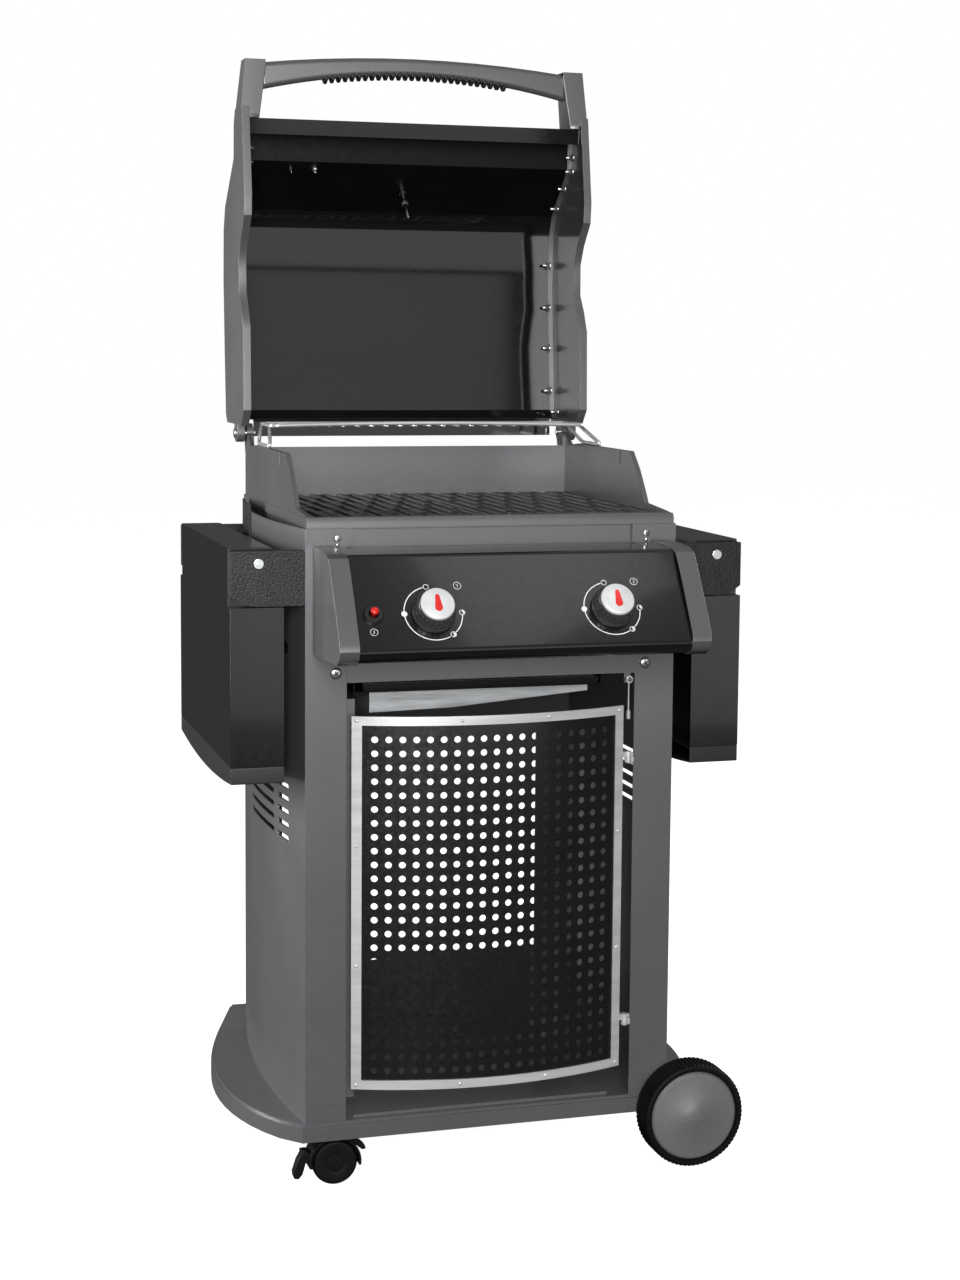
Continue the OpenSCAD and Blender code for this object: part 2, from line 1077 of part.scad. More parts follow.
module door_frame() {
    color("#b6b9bc")
        home() {
            difference() {
                translate([0, 0, door_low])
                    linear_extrude(door_high - door_low)
                        door_plan(2.5, 0);
                block([door_x - door_w / 2 + door_strip, -80, door_low + door_strip],
                      [door_x + door_w / 2 - door_strip, 10, door_high - door_strip]);
            }
            for (z = door_lugs) {
                translate([door_axis[0], door_axis[1], z + 0.4])
                    cylinder(h = 8, r = 5);
                block([188.6, -11.4, z + 0.4], [door_axis[0], -6, z + 8.4]);
                translate([door_axis[0], door_axis[1], z - 8])
                    cylinder(h = 9, r = 3);
            }
        }
}

// ---- Rolling gear

module axle_rod() {
    color("#8f9296")
        home() {
            rod_y(wheel_x, wheel_r, wheel_front_y + 4, wheel_rear_y + wheel_w - 4, axle_r);
            for (y = [wheel_front_y + 0.5, wheel_rear_y + wheel_w - 4])
                rod_y(wheel_x, wheel_r, y, y + 3.5, 12);
            for (y = [-1.5, wheel_rear_y - 4])
                rod_y(wheel_x, wheel_r, y, y + 3, 9);
        }
}

module tyre_shape(y) {
    difference() {
        rod_y(wheel_x, wheel_r, y, y + wheel_w, wheel_r, $fn = 96);
        rod_y(wheel_x, wheel_r, y - 1, y + wheel_w + 1, rim_r, $fn = 96);
    }
}

// side = 1 when the outer face looks back, -1 when it looks forward
module hub_shape(y, side) {
    mid = y + wheel_w / 2;
    translate([0, mid, 0])
        scale([1, side, 1])
            difference() {
                union() {
                    difference() {
                        rod_y(wheel_x, wheel_r, 1 - wheel_w / 2, wheel_w / 2 - 1, rim_r, $fn = 96);
                        rod_y(wheel_x, wheel_r, -wheel_w / 2, wheel_w / 2 - 10, rim_r - 5);
                        rod_y(wheel_x, wheel_r, wheel_w / 2 - 5, wheel_w / 2, rim_r - 8);
                    }
                    rod_y(wheel_x, wheel_r, 1 - wheel_w / 2, wheel_w / 2 - 4.5, 16);
                }
                rod_y(wheel_x, wheel_r, -wheel_w, wheel_w, axle_r + run_gap);
            }
}

module wheel_front_tyre() {
    color("#1d1e20")
        home()
            tyre_shape(wheel_front_y);
}

module wheel_front_hub() {
    color("#6f7378")
        home()
            hub_shape(wheel_front_y, -1);
}

module wheel_rear_tyre() {
    color("#1d1e20")
        home()
            tyre_shape(wheel_rear_y);
}

module wheel_rear_hub() {
    color("#6f7378")
        home()
            hub_shape(wheel_rear_y, 1);
}

module caster_stems() {
    color("#8f9296")
        home()
            for (y = caster_y)
                translate([-caster_x, y, 0]) {
                    translate([0, 0, 66.5])
                        cylinder(h = 20, r = stem_r);
                    translate([0, 0, 78])
                        cylinder(h = base_top - 3 - 78, r = 14);
                }
}

// Caster parts are drawn about their own stem; the wheel's axis trails 12 mm behind it
module caster_hood_shape() {
    difference() {
        union() {
            difference() {
                rod_y(0, caster_r, -19, 19, 37.5);
                rod_y(0, caster_r, -20, -3, 34.5);
                rod_y(0, caster_r, 3, 20, 34.5);
                block([-50, -30, -10], [50, 30, caster_r - 6]);
            }
            rod_y(0, caster_r, -3, 3, 9);
            translate([12, 0, 65.5])
                cylinder(h = 11.5, r = 12);
            for (y = [-13, 9])
                block([-46, y, 34], [-34.8, y + 4, 48]);
            along(-8, 8)
                polygon([[22, 63], [34, 60], [45, 50], [46, 45.5], [41, 44.5], [34, 50], [26, 58]]);
        }
        translate([12, 0, 66])
            cylinder(h = 12, r = stem_r + run_gap);
        rod_y(0, caster_r, -4, 4, 3 + run_gap);
        rod_y(brake_at[0], brake_at[1], -20, 20, 2 + run_gap);
    }
}

module caster_wheels_shape() {
    for (y = [-18, 4])
        rod_y(0, caster_r, y, y + 14, caster_r);
    rod_y(0, caster_r, -5, 5, 3);
}

module caster_brake_shape() {
    rod_y(brake_at[0], brake_at[1], -13, 13, 2);
    along(-8.6, 8.6)
        polygon([[-38.5, 50], [-44, 50], [-52, 36], [-58, 18], [-57, 11], [-51, 10], [-45.5, 16],
                 [-42, 28], [-39.3, 40]]);
}

module at_caster(i) {
    translate([-caster_x - 12, caster_y[i], 0])
        children();
}

module caster_front_hood() {
    color("#1d1e20")
        home()
            at_caster(0)
                caster_hood_shape();
}

module caster_front_wheels() {
    color("#2a2c2e")
        home()
            at_caster(0)
                caster_wheels_shape();
}

module caster_front_brake() {
    color("#303235")
        home()
            at_caster(0)
                caster_brake_shape();
}

module caster_rear_hood() {
    color("#1d1e20")
        home()
            at_caster(1)
                caster_hood_shape();
}

module caster_rear_wheels() {
    color("#2a2c2e")
        home()
            at_caster(1)
                caster_wheels_shape();
}

module caster_rear_brake() {
    color("#303235")
        home()
            at_caster(1)
                caster_brake_shape();
}

base_panel();
side_panel_left();
side_panel_right();
front_cross_member();
front_top_rail();
corner_plates();
rear_lower_panel();
rear_upper_panel();
frame_screws();
door_hinge_brackets();
tray_rails();
match_holder();
cookbox();
grate_left();
grate_right();
heat_tents();
burner_tubes();
gas_manifold();
gas_valves();
igniter_electrode();
grease_tray();
drip_pan();
warming_rack();
rack_legs();
control_panel();
panel_end_left();
panel_end_right();
igniter_socket();
igniter_button();
knob_left();
knob_right();
lid_shroud();
lid_end_left();
lid_end_right();
lid_handle();
handle_grip();
lid_hinge_pins();
thermometer_case();
thermometer_needle();
table_arms_left();
table_arms_right();
table_left();
table_right();
table_end_left();
table_end_right();
table_pins();
door_panel();
door_frame();
axle_rod();
wheel_front_tyre();
wheel_front_hub();
wheel_rear_tyre();
wheel_rear_hub();
caster_stems();
caster_front_hood();
caster_front_wheels();
caster_front_brake();
caster_rear_hood();
caster_rear_wheels();
caster_rear_brake();
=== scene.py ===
"""Looks of the gas barbecue grill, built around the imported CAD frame.

Lengths are metres, apart from those given to at() and mm() and those whose name ends in mm.
"""
import json
import math

import bmesh
import bpy
from mathutils import Matrix, Vector


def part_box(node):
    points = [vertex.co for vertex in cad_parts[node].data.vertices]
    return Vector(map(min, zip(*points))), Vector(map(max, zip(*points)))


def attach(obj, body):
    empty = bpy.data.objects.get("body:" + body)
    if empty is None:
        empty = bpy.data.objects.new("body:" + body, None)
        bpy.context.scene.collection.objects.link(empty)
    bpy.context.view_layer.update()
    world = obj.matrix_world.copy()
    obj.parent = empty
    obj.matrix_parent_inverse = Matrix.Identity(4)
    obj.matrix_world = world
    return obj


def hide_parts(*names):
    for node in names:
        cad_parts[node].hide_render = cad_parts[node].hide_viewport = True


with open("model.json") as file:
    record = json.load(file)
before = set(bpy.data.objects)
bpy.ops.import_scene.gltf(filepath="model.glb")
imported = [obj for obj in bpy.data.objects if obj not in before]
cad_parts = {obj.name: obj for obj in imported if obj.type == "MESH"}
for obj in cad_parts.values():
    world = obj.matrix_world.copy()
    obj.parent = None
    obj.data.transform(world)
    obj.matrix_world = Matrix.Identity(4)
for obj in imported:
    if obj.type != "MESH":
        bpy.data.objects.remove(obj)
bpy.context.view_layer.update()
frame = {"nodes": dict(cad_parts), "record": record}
NODES = frame["nodes"]
BEHAVIOUR = frame["record"]["behaviour"]
BODY = {node: body for body, nodes in BEHAVIOUR["bodies"].items() for node in nodes}
JOINT = {joint["name"]: joint for joint in BEHAVIOUR["joints"]}
SLOT = {part["node"]: part["material_slot"] for part in frame["record"]["subparts"]}
# The front face of the cart's posts, where the part's own millimetres start
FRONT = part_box("corner_plates")[1].y
# Printed lines stand between these heights above the face they are on
PRINT_GAP, PRINT_HEIGHT = 0.00002, 0.00025
# Points nearer than this are one point: in a CAD mesh, on a lathed part's axis, in the door sheet
CAD_WELD, AXIS_WELD, SHEET_WELD = 2e-5, 1e-6, 1e-5
# Parts of a texture's output, from 0 to 1, over which gloss, colour drift and flakes change
NOISE_RANGE, DRIFT_RANGE, FLAKE_RANGE = (0.3, 0.7), (0.35, 0.65), (0.1, 0.9)


def at(x, y, z):
    """A point given in millimetres from the posts' front face and the ground."""
    return Vector((x / 1000, FRONT + y / 1000, z / 1000))


def mm(*pairs):
    """Outline points given in millimetres, as metres."""
    return [(across / 1000, up / 1000) for across, up in pairs]


# ---------------------------------------------------------------- materials


def new_material(name):
    """A node material, with its nodes, its links and its shader."""
    mat = bpy.data.materials.new(name)
    mat.use_nodes = True
    return mat, mat.node_tree.nodes, mat.node_tree.links, mat.node_tree.nodes["Principled BSDF"]


def coords(nodes, links, scale=(1, 1, 1)):
    source = nodes.new("ShaderNodeTexCoord")
    mapping = nodes.new("ShaderNodeMapping")
    mapping.inputs["Scale"].default_value = scale
    links.new(source.outputs["Object"], mapping.inputs["Vector"])
    return mapping.outputs["Vector"]


def noise(nodes, links, vector, scale, detail=3.0, rough=0.55):
    tex = nodes.new("ShaderNodeTexNoise")
    tex.inputs["Scale"].default_value = scale
    tex.inputs["Detail"].default_value = detail
    tex.inputs["Roughness"].default_value = rough
    links.new(vector, tex.inputs["Vector"])
    return tex.outputs["Fac"]


def ramp(nodes, links, value, stops):
    node = nodes.new("ShaderNodeValToRGB")
    first, last = node.color_ramp.elements
    for element, (place, colour) in zip((first, last), stops):
        element.position = place
        element.color = (*colour, 1)
    links.new(value, node.inputs["Fac"])
    return node.outputs["Color"]


def spread(nodes, links, value, low, high):
    node = nodes.new("ShaderNodeMapRange")
    node.inputs["From Min"].default_value, node.inputs["From Max"].default_value = NOISE_RANGE
    node.inputs["To Min"].default_value = low
    node.inputs["To Max"].default_value = high
    links.new(value, node.inputs["Value"])
    return node.outputs["Result"]


def bumped(nodes, links, shader, height, strength, distance):
    node = nodes.new("ShaderNodeBump")
    node.inputs["Strength"].default_value = strength
    node.inputs["Distance"].default_value = distance
    links.new(height, node.inputs["Height"])
    links.new(node.outputs["Normal"], shader.inputs["Normal"])


def tones(colour, shade):
    """A darker and a lighter tone of a colour."""
    return tuple(c * (1 - shade) for c in colour), tuple(min(1.0, c * (1 + shade)) for c in colour)


def surface(
    name,
    colour,
    metallic=0.0,
    rough=(0.3, 0.4),
    shade=0.12,
    cloud=6.0,
    grain=900.0,
    bump=0.1,
    depth=0.0002,
    stretch=(1, 1, 1),
    coat=0.0,
    coat_rough=0.05,
    specular=0.5,
):
    """A painted, moulded or metal surface: slow colour drift, uneven gloss and a fine relief."""
    mat, nodes, links, shader = new_material(name)
    vector = coords(nodes, links, stretch)
    slow = noise(nodes, links, vector, cloud)
    fine = noise(nodes, links, vector, grain, detail=2.0)
    drift = ramp(nodes, links, slow, zip(DRIFT_RANGE, tones(colour, shade)))
    links.new(drift, shader.inputs["Base Color"])
    links.new(spread(nodes, links, fine, *rough), shader.inputs["Roughness"])
    shader.inputs["Metallic"].default_value = metallic
    shader.inputs["Specular IOR Level"].default_value = specular
    shader.inputs["Coat Weight"].default_value = coat
    shader.inputs["Coat Roughness"].default_value = coat_rough
    bumped(nodes, links, shader, fine, bump, depth)
    return mat


def flaked(name, colour, rough, shade=0.14, flake_scale=1400, peel_scale=260.0, metallic=0.35):
    """Metallic paint: small bright flakes under a clear coat with a little orange peel."""
    mat, nodes, links, shader = new_material(name)
    vector = coords(nodes, links)
    flakes = nodes.new("ShaderNodeTexVoronoi")
    flakes.inputs["Scale"].default_value = flake_scale
    links.new(vector, flakes.inputs["Vector"])
    grey = nodes.new("ShaderNodeSeparateColor")
    links.new(flakes.outputs["Color"], grey.inputs["Color"])
    tint = ramp(nodes, links, grey.outputs["Red"], zip(FLAKE_RANGE, tones(colour, shade)))
    links.new(tint, shader.inputs["Base Color"])
    slow = noise(nodes, links, vector, 5.0)
    links.new(spread(nodes, links, slow, rough - 0.04, rough + 0.05), shader.inputs["Roughness"])
    shader.inputs["Metallic"].default_value = metallic
    shader.inputs["Coat Weight"].default_value = 0.35
    shader.inputs["Coat Roughness"].default_value = 0.12
    peel = noise(nodes, links, vector, peel_scale, detail=1.0)
    bumped(nodes, links, shader, peel, 0.05, 0.0004)
    return mat


def glass(name):
    mat, nodes, links, shader = new_material(name)
    smear = noise(nodes, links, coords(nodes, links), 40.0)
    links.new(spread(nodes, links, smear, 0.02, 0.08), shader.inputs["Roughness"])
    shader.inputs["Transmission Weight"].default_value = 1.0
    shader.inputs["IOR"].default_value = 1.45
    return mat


M = {
    "grey_paint": flaked("grey_metallic_paint", (0.100, 0.103, 0.107), 0.36),
    # A lighter copy of the body's grey paint for the wheel faces: painted light that brightens them
    "hub_grey_painted_light": flaked("grey_paint_lit_for_wheels", (0.150, 0.153, 0.157), 0.42),
    "light_grey_casting": flaked("grey_cast_paint", (0.105, 0.108, 0.112), 0.38),
    "black_enamel": surface(
        "black_enamel", (0.0055, 0.0055, 0.0058), rough=(0.14, 0.20), shade=0.1, cloud=4, grain=130,
        bump=0.03, depth=0.0006, coat=0.35,
    ),
    "lid_inside": surface(
        "black_porcelain", (0.0045, 0.0045, 0.0047), rough=(0.06, 0.10), cloud=3, grain=90, bump=0.02,
        depth=0.0008, coat=0.2,
    ),
    # Near-black matt porcelain: painted shade on the lid's inner slope, where the sheet lies in shade
    "slope_painted_shade": surface(
        "painted_shade_porcelain", (0.0016, 0.0016, 0.0017), rough=(0.45, 0.6), shade=0.3, cloud=12,
        grain=200, depth=0.0004, specular=0.12,
    ),
    "satin_black": surface(
        "satin_black_paint", (0.012, 0.012, 0.013), rough=(0.30, 0.38), shade=0.1, cloud=5, grain=700,
        bump=0.08,
    ),
    "textured_black": surface(
        "textured_black_plastic", (0.010, 0.010, 0.011), rough=(0.40, 0.55), shade=0.2, cloud=30,
        grain=300, bump=0.8, depth=0.0012, specular=0.3,
    ),
    "grate_enamel": surface(
        "grate_enamel", (0.016, 0.016, 0.017), rough=(0.30, 0.44), shade=0.25, cloud=20, grain=320,
        bump=0.35, depth=0.0006,
    ),
    "dark_steel": surface(
        "dark_steel", (0.05, 0.052, 0.056), metallic=0.6, rough=(0.38, 0.5), shade=0.2, cloud=12,
        grain=500,
    ),
    "tray_black": surface(
        "tray_black_enamel", (0.0025, 0.0025, 0.0027), rough=(0.34, 0.46), shade=0.2, cloud=9,
        grain=400, specular=0.12,
    ),
    "bright_steel": surface(
        "galvanised_steel", (0.36, 0.37, 0.38), metallic=0.75, rough=(0.28, 0.42), shade=0.16,
        cloud=60, grain=240, bump=0.08, depth=0.0003, stretch=(0.12, 1, 1),
    ),
    "screw_steel": surface(
        "screw_steel", (0.62, 0.63, 0.64), metallic=0.95, rough=(0.18, 0.28), shade=0.08, cloud=90,
        grain=700, bump=0.05,
    ),
    "tube_steel": surface(
        "burner_steel", (0.42, 0.41, 0.39), metallic=0.9, rough=(0.35, 0.5), shade=0.2, cloud=25,
        grain=300,
    ),
    "brass_fittings": surface(
        "brass_fittings", (0.55, 0.40, 0.17), metallic=0.95, rough=(0.28, 0.4), cloud=30, grain=600,
        bump=0.08,
    ),
    "ceramic": surface(
        "white_ceramic", (0.78, 0.77, 0.72), rough=(0.12, 0.2), shade=0.04, cloud=20, grain=200,
        bump=0.03,
    ),
    "chrome_wire": surface(
        "chrome_wire", (0.66, 0.67, 0.68), metallic=0.65, rough=(0.10, 0.18), shade=0.05, cloud=40,
        grain=400, bump=0.04,
    ),
    "black_plastic": surface(
        "black_plastic", (0.008, 0.008, 0.009), rough=(0.32, 0.44), shade=0.15, cloud=15, grain=800,
        bump=0.16,
    ),
    "red_plastic": surface(
        "red_plastic", (0.56, 0.012, 0.010), rough=(0.16, 0.24), shade=0.08, cloud=40, grain=500,
        bump=0.05, coat=0.4,
    ),
    "knob_grey": surface(
        "dark_grey_plastic", (0.030, 0.030, 0.032), rough=(0.30, 0.38), shade=0.1, cloud=20, grain=800,
    ),
    "silver_plastic": surface(
        "silver_plastic", (0.58, 0.585, 0.59), metallic=0.15, rough=(0.24, 0.34), shade=0.06, cloud=50,
        bump=0.08, coat=0.3,
    ),
    "anodised": surface(
        "anodised_aluminium", (0.54, 0.54, 0.55), metallic=0.45, rough=(0.28, 0.42), shade=0.10,
        cloud=8, grain=220, bump=0.12, stretch=(1, 1, 9),
    ),
    "gauge_chrome": surface(
        "gauge_chrome", (0.66, 0.67, 0.68), metallic=1.0, rough=(0.1, 0.18), shade=0.04, cloud=30,
        grain=500, bump=0.04,
    ),
    "door_enamel": surface(
        "door_black_enamel", (0.006, 0.006, 0.0065), rough=(0.20, 0.28), cloud=5, grain=180, bump=0.02,
        depth=0.0003, coat=0.25,
    ),
    "tyre_rubber": surface(
        "tyre_rubber", (0.0024, 0.0024, 0.0025), rough=(0.55, 0.7), shade=0.2, cloud=40, bump=0.3,
        depth=0.0003, specular=0.12,
    ),
    "dark_plastic": surface(
        "caster_plastic", (0.004, 0.004, 0.0045), rough=(0.26, 0.36), shade=0.15, cloud=20, grain=700,
        bump=0.14, specular=0.4,
    ),
    "print_white": surface(
        "white_print", (0.72, 0.72, 0.72), rough=(0.4, 0.5), shade=0.04, cloud=60, bump=0.05,
    ),
    "dial_white": surface(
        "dial_face", (0.78, 0.78, 0.76), rough=(0.35, 0.45), shade=0.03, cloud=60, bump=0.04,
    ),
    "lens": glass("gauge_glass"),
}

# ---------------------------------------------------------------- mesh helpers


def add_object(name, mesh):
    obj = bpy.data.objects.new(name, mesh)
    bpy.context.scene.collection.objects.link(obj)
    return obj


def mesh_object(name, verts, faces, smooth=False):
    mesh = bpy.data.meshes.new(name)
    mesh.from_pydata([tuple(v) for v in verts], [], faces)
    mesh.validate()
    for polygon in mesh.polygons:
        polygon.use_smooth = smooth
    bm = bmesh.new()
    bm.from_mesh(mesh)
    bmesh.ops.recalc_face_normals(bm, faces=bm.faces)
    bm.to_mesh(mesh)
    bm.free()
    return add_object(name, mesh)


def modify(obj, kind, **settings):
    mod = obj.modifiers.new(kind.lower(), kind)
    for key, value in settings.items():
        setattr(mod, key, value)
    return mod


def round_edges(obj, width, segments=2, angle=35):
    """Rounds the sharp edges and shades the faces so that flats stay flat."""
    modify(
        obj,
        "BEVEL",
        width=width,
        segments=segments,
        limit_method="ANGLE",
        angle_limit=math.radians(angle),
        use_clamp_overlap=True,
    )
    for polygon in obj.data.polygons:
        polygon.use_smooth = True
    modify(obj, "WEIGHTED_NORMAL", keep_sharp=False, weight=60)


def finish_piece(obj, body, material, replaces=()):
    """Gives a piece its material, its body and the CAD nodes that it stands for."""
    obj.data.materials.clear()
    obj.data.materials.append(M[material])
    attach(obj, body)
    if replaces:
        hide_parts(*replaces)
    return obj


def refined(node, width, material=None, segments=2, angle=35):
    """The CAD node's own shape with rounded edges."""
    mesh = NODES[node].data.copy()
    bm = bmesh.new()
    bm.from_mesh(mesh)
    bmesh.ops.remove_doubles(bm, verts=bm.verts, dist=CAD_WELD)
    bmesh.ops.dissolve_limit(bm, angle_limit=math.radians(1), verts=bm.verts, edges=bm.edges)
    bm.to_mesh(mesh)
    bm.free()
    obj = add_object(node + "_shell", mesh)
    round_edges(obj, width, segments, angle)
    return finish_piece(obj, BODY[node], material or SLOT[node], (node,))


def basis(origin, axis, side=Vector((1, 0, 0))):
    """A matrix with Z along axis and X as near side as it can be."""
    z = Vector(axis).normalized()
    y = z.cross(side).normalized()
    x = y.cross(z)
    rotation = Matrix((x, y, z)).transposed().to_4x4()
    return Matrix.Translation(origin) @ rotation


def lathed(name, profile, place, steps=64, smooth_angle=40):
    """A round part from (radius, height) pairs about place's Z axis."""
    verts, faces = [], []
    rows = len(profile)
    for i in range(steps):
        angle = 2 * math.pi * i / steps
        for radius, height in profile:
            verts.append(place @ Vector((radius * math.cos(angle), radius * math.sin(angle), height)))
    for i in range(steps):
        j = (i + 1) % steps
        for k in range(rows - 1):
            faces.append((i * rows + k, j * rows + k, j * rows + k + 1, i * rows + k + 1))
    obj = mesh_object(name, verts, faces, smooth=True)
    bm = bmesh.new()
    bm.from_mesh(obj.data)
    bmesh.ops.remove_doubles(bm, verts=bm.verts, dist=AXIS_WELD)
    bmesh.ops.recalc_face_normals(bm, faces=bm.faces)
    for edge in bm.edges:
        if len(edge.link_faces) == 2:
            edge.smooth = edge.calc_face_angle(0) < math.radians(smooth_angle)
    bm.to_mesh(obj.data)
    bm.free()
    return obj


def joined(name, objs):
    """One object from several."""
    bm = bmesh.new()
    for obj in objs:
        bm.from_mesh(obj.data)
        bpy.data.objects.remove(obj)
    mesh = bpy.data.meshes.new(name)
    bm.to_mesh(mesh)
    bm.free()
    return add_object(name, mesh)


def arc(radius, start, end, steps=24, centre=(0, 0)):
    """Points of an arc, angles in degrees."""
    out = []
    for i in range(steps + 1):
        angle = math.radians(start + (end - start) * i / steps)
        out.append((centre[0] + radius * math.cos(angle), centre[1] + radius * math.sin(angle)))
    return out


def ribbon(name, points, width, place, height=PRINT_HEIGHT, closed=False):
    """A thin printed line along 2D points on place's XY plane."""
    count = len(points)
    verts, faces = [], []
    for i, point in enumerate(points):
        before = Vector(points[i - 1] if i or closed else points[0])
        after = Vector(points[(i + 1) % count] if i < count - 1 or closed else points[-1])
        way = (after - before).normalized()
        side = Vector((-way.y, way.x)) * width / 2
        for sign in (1, -1):
            for z in (PRINT_GAP, height):
                verts.append(place @ Vector((point[0] + sign * side.x, point[1] + sign * side.y, z)))
    spans = count if closed else count - 1
    for i in range(spans):
        a, b = 4 * i, 4 * ((i + 1) % count)
        for low, high in ((0, 1), (1, 3), (3, 2), (2, 0)):
            faces.append((a + low, a + high, b + high, b + low))
    if not closed:
        faces.append((0, 2, 3, 1))
        last = 4 * (count - 1)
        faces.append((last, last + 1, last + 3, last + 2))
    return mesh_object(name, verts, faces)


def disc(name, radius, place, height=PRINT_HEIGHT, steps=32):
    return lathed(name, [(0, height), (radius, height), (radius, 0)], place, steps)


def plate(name, outline, place, low, high):
    """A flat 2D outline given thickness on place."""
    count = len(outline)
    verts = [place @ Vector((x, y, z)) for z in (low, high) for x, y in outline]
    faces = [tuple(range(count - 1, -1, -1)), tuple(range(count, 2 * count))]
    faces += [(i, (i + 1) % count, count + (i + 1) % count, count + i) for i in range(count)]
    return mesh_object(name, verts, faces)


def brick(low, high):
    """A block between two corners, rounded later with the rest of its piece."""
    verts = [Vector((x, y, z)) for x in (low.x, high.x) for y in (low.y, high.y) for z in (low.z, high.z)]
    faces = [(0, 1, 3, 2), (4, 6, 7, 5), (0, 4, 5, 1), (2, 3, 7, 6), (0, 2, 6, 4), (1, 5, 7, 3)]
    return mesh_object("brick", verts, faces)


def filleted(points, radius, closed=False, steps=6, share=0.45):
    """The points with their corners rounded, each corner taking at most that share of its sides."""
    out = []
    count = len(points)
    for i, point in enumerate(points):
        if not closed and i in (0, count - 1):
            out.append(point)
            continue
        before = points[i - 1] - point
        after = points[(i + 1) % count] - point
        cut = min(radius, before.length * share, after.length * share)
        start = point + before.normalized() * cut
        end = point + after.normalized() * cut
        for k in range(steps + 1):
            t = k / steps
            out.append(start * (1 - t) ** 2 + point * 2 * t * (1 - t) + end * t**2)
    return out


def wire(name, points, radius, steps=12, closed=False):
    """A round wire along 3D points."""
    count = len(points)
    verts, faces = [], []
    normal = None
    for i, point in enumerate(points):
        before = points[i - 1] if i or closed else points[0]
        after = points[(i + 1) % count] if i < count - 1 or closed else points[-1]
        way = (after - before).normalized()
        if normal is None:
            normal = way.orthogonal().normalized()
        normal = (normal - way * normal.dot(way)).normalized()
        side = way.cross(normal)
        for k in range(steps):
            angle = 2 * math.pi * k / steps
            verts.append(point + (normal * math.cos(angle) + side * math.sin(angle)) * radius)
    spans = count if closed else count - 1
    for i in range(spans):
        a, b = steps * i, steps * ((i + 1) % count)
        for k in range(steps):
            n = (k + 1) % steps
            faces.append((a + k, a + n, b + n, b + k))
    if not closed:
        faces.append(tuple(range(steps - 1, -1, -1)))
        faces.append(tuple(steps * (count - 1) + k for k in range(steps)))
    return mesh_object(name, verts, faces, smooth=True)


# ---------------------------------------------------------------- door


DOOR_LOW, DOOR_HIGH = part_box("door_panel")
DOOR_MID = (DOOR_LOW.x + DOOR_HIGH.x) / 2
DOOR_HALF = (DOOR_HIGH.x - DOOR_LOW.x) / 2
# How far the door bows forward at its middle
DOOR_BOW = 0.038
DOOR_RADIUS = (DOOR_HALF**2 + DOOR_BOW**2) / (2 * DOOR_BOW)


def on_door(x, z, out=0.0):
    """Point on the door's outer face, out metres in front of it."""
    reach = DOOR_RADIUS + out
    angle = math.asin(max(-1, min(1, (x - DOOR_MID) / DOOR_RADIUS)))
    y = DOOR_LOW.y + DOOR_RADIUS - reach * math.cos(angle)
    return Vector((DOOR_MID + reach * math.sin(angle), y, z))


def door_sheet():
    """Perforated sheet: a grid of round holes with a plain field near the bottom."""
    columns, rows = 19, 25
    pitch_x, pitch_z, radius = 0.0186, 0.01946, 0.0047
    top_margin, side_gap, thickness = 0.0217, 0.0005, 0.0014
    plain = {(column, row) for column in range(7, 12) for row in range(16, 22)}
    steps, margin_parts = 16, 20
    left = DOOR_MID - pitch_x * columns / 2
    right = left + pitch_x * columns
    top = DOOR_HIGH.z - top_margin
    bottom = top - pitch_z * rows
    verts, faces = [], []

    def cell_outline(x, z):
        square = []
        for i in range(steps):
            angle = 2 * math.pi * i / steps
            dx, dz = math.cos(angle), math.sin(angle)
            scale = 1 / max(abs(dx), abs(dz))
            square.append((x + dx * scale * pitch_x / 2, z + dz * scale * pitch_z / 2))
        return square

    def add(x, z):
        verts.append(on_door(x, z))
        return len(verts) - 1

    for column in range(columns):
        for row in range(rows):
            x = left + pitch_x * (column + 0.5)
            z = top - pitch_z * (row + 0.5)
            outer = [add(*point) for point in cell_outline(x, z)]
            if (column, row) in plain:
                faces.append(outer)
                continue
            ring = [add(x + dx, z + dz) for dx, dz in arc(radius, 0, 360, steps)[:-1]]
            for i in range(steps):
                j = (i + 1) % steps
                faces.append((outer[i], outer[j], ring[j], ring[i]))
    edges_x = [DOOR_LOW.x + side_gap, left, right, DOOR_HIGH.x - side_gap]
    edges_z = [DOOR_LOW.z, bottom, top, DOOR_HIGH.z]
    margins = ((0, 1, 0, 3), (2, 3, 0, 3), (1, 2, 0, 1), (1, 2, 2, 3))
    for x0, x1, z0, z1 in margins:
        width = (edges_x[x1] - edges_x[x0]) / margin_parts
        for i in range(margin_parts):
            xa = edges_x[x0] + width * i
            xb = edges_x[x0] + width * (i + 1)
            corners = ((xa, edges_z[z0]), (xb, edges_z[z0]), (xb, edges_z[z1]), (xa, edges_z[z1]))
            faces.append([add(*corner) for corner in corners])
    obj = mesh_object("door_perforated_sheet", verts, faces, smooth=True)
    bm = bmesh.new()
    bm.from_mesh(obj.data)
    bmesh.ops.remove_doubles(bm, verts=bm.verts, dist=SHEET_WELD)
    bm.normal_update()
    bmesh.ops.reverse_faces(bm, faces=[face for face in bm.faces if face.normal.y > 0])
    bm.to_mesh(obj.data)
    bm.free()
    modify(obj, "SOLIDIFY", thickness=thickness, offset=-1)
    modify(obj, "EDGE_SPLIT", split_angle=math.radians(30))
    return finish_piece(obj, "door", "door_enamel", ("door_panel",))


def dome(name, place, radius, height, steps=24):
    """A small rivet or button head standing on place."""
    profile = [(0, height), (radius * 0.45, height * 0.9), (radius * 0.8, height * 0.6), (radius, 0)]
    return lathed(name, profile, place, steps, 80)


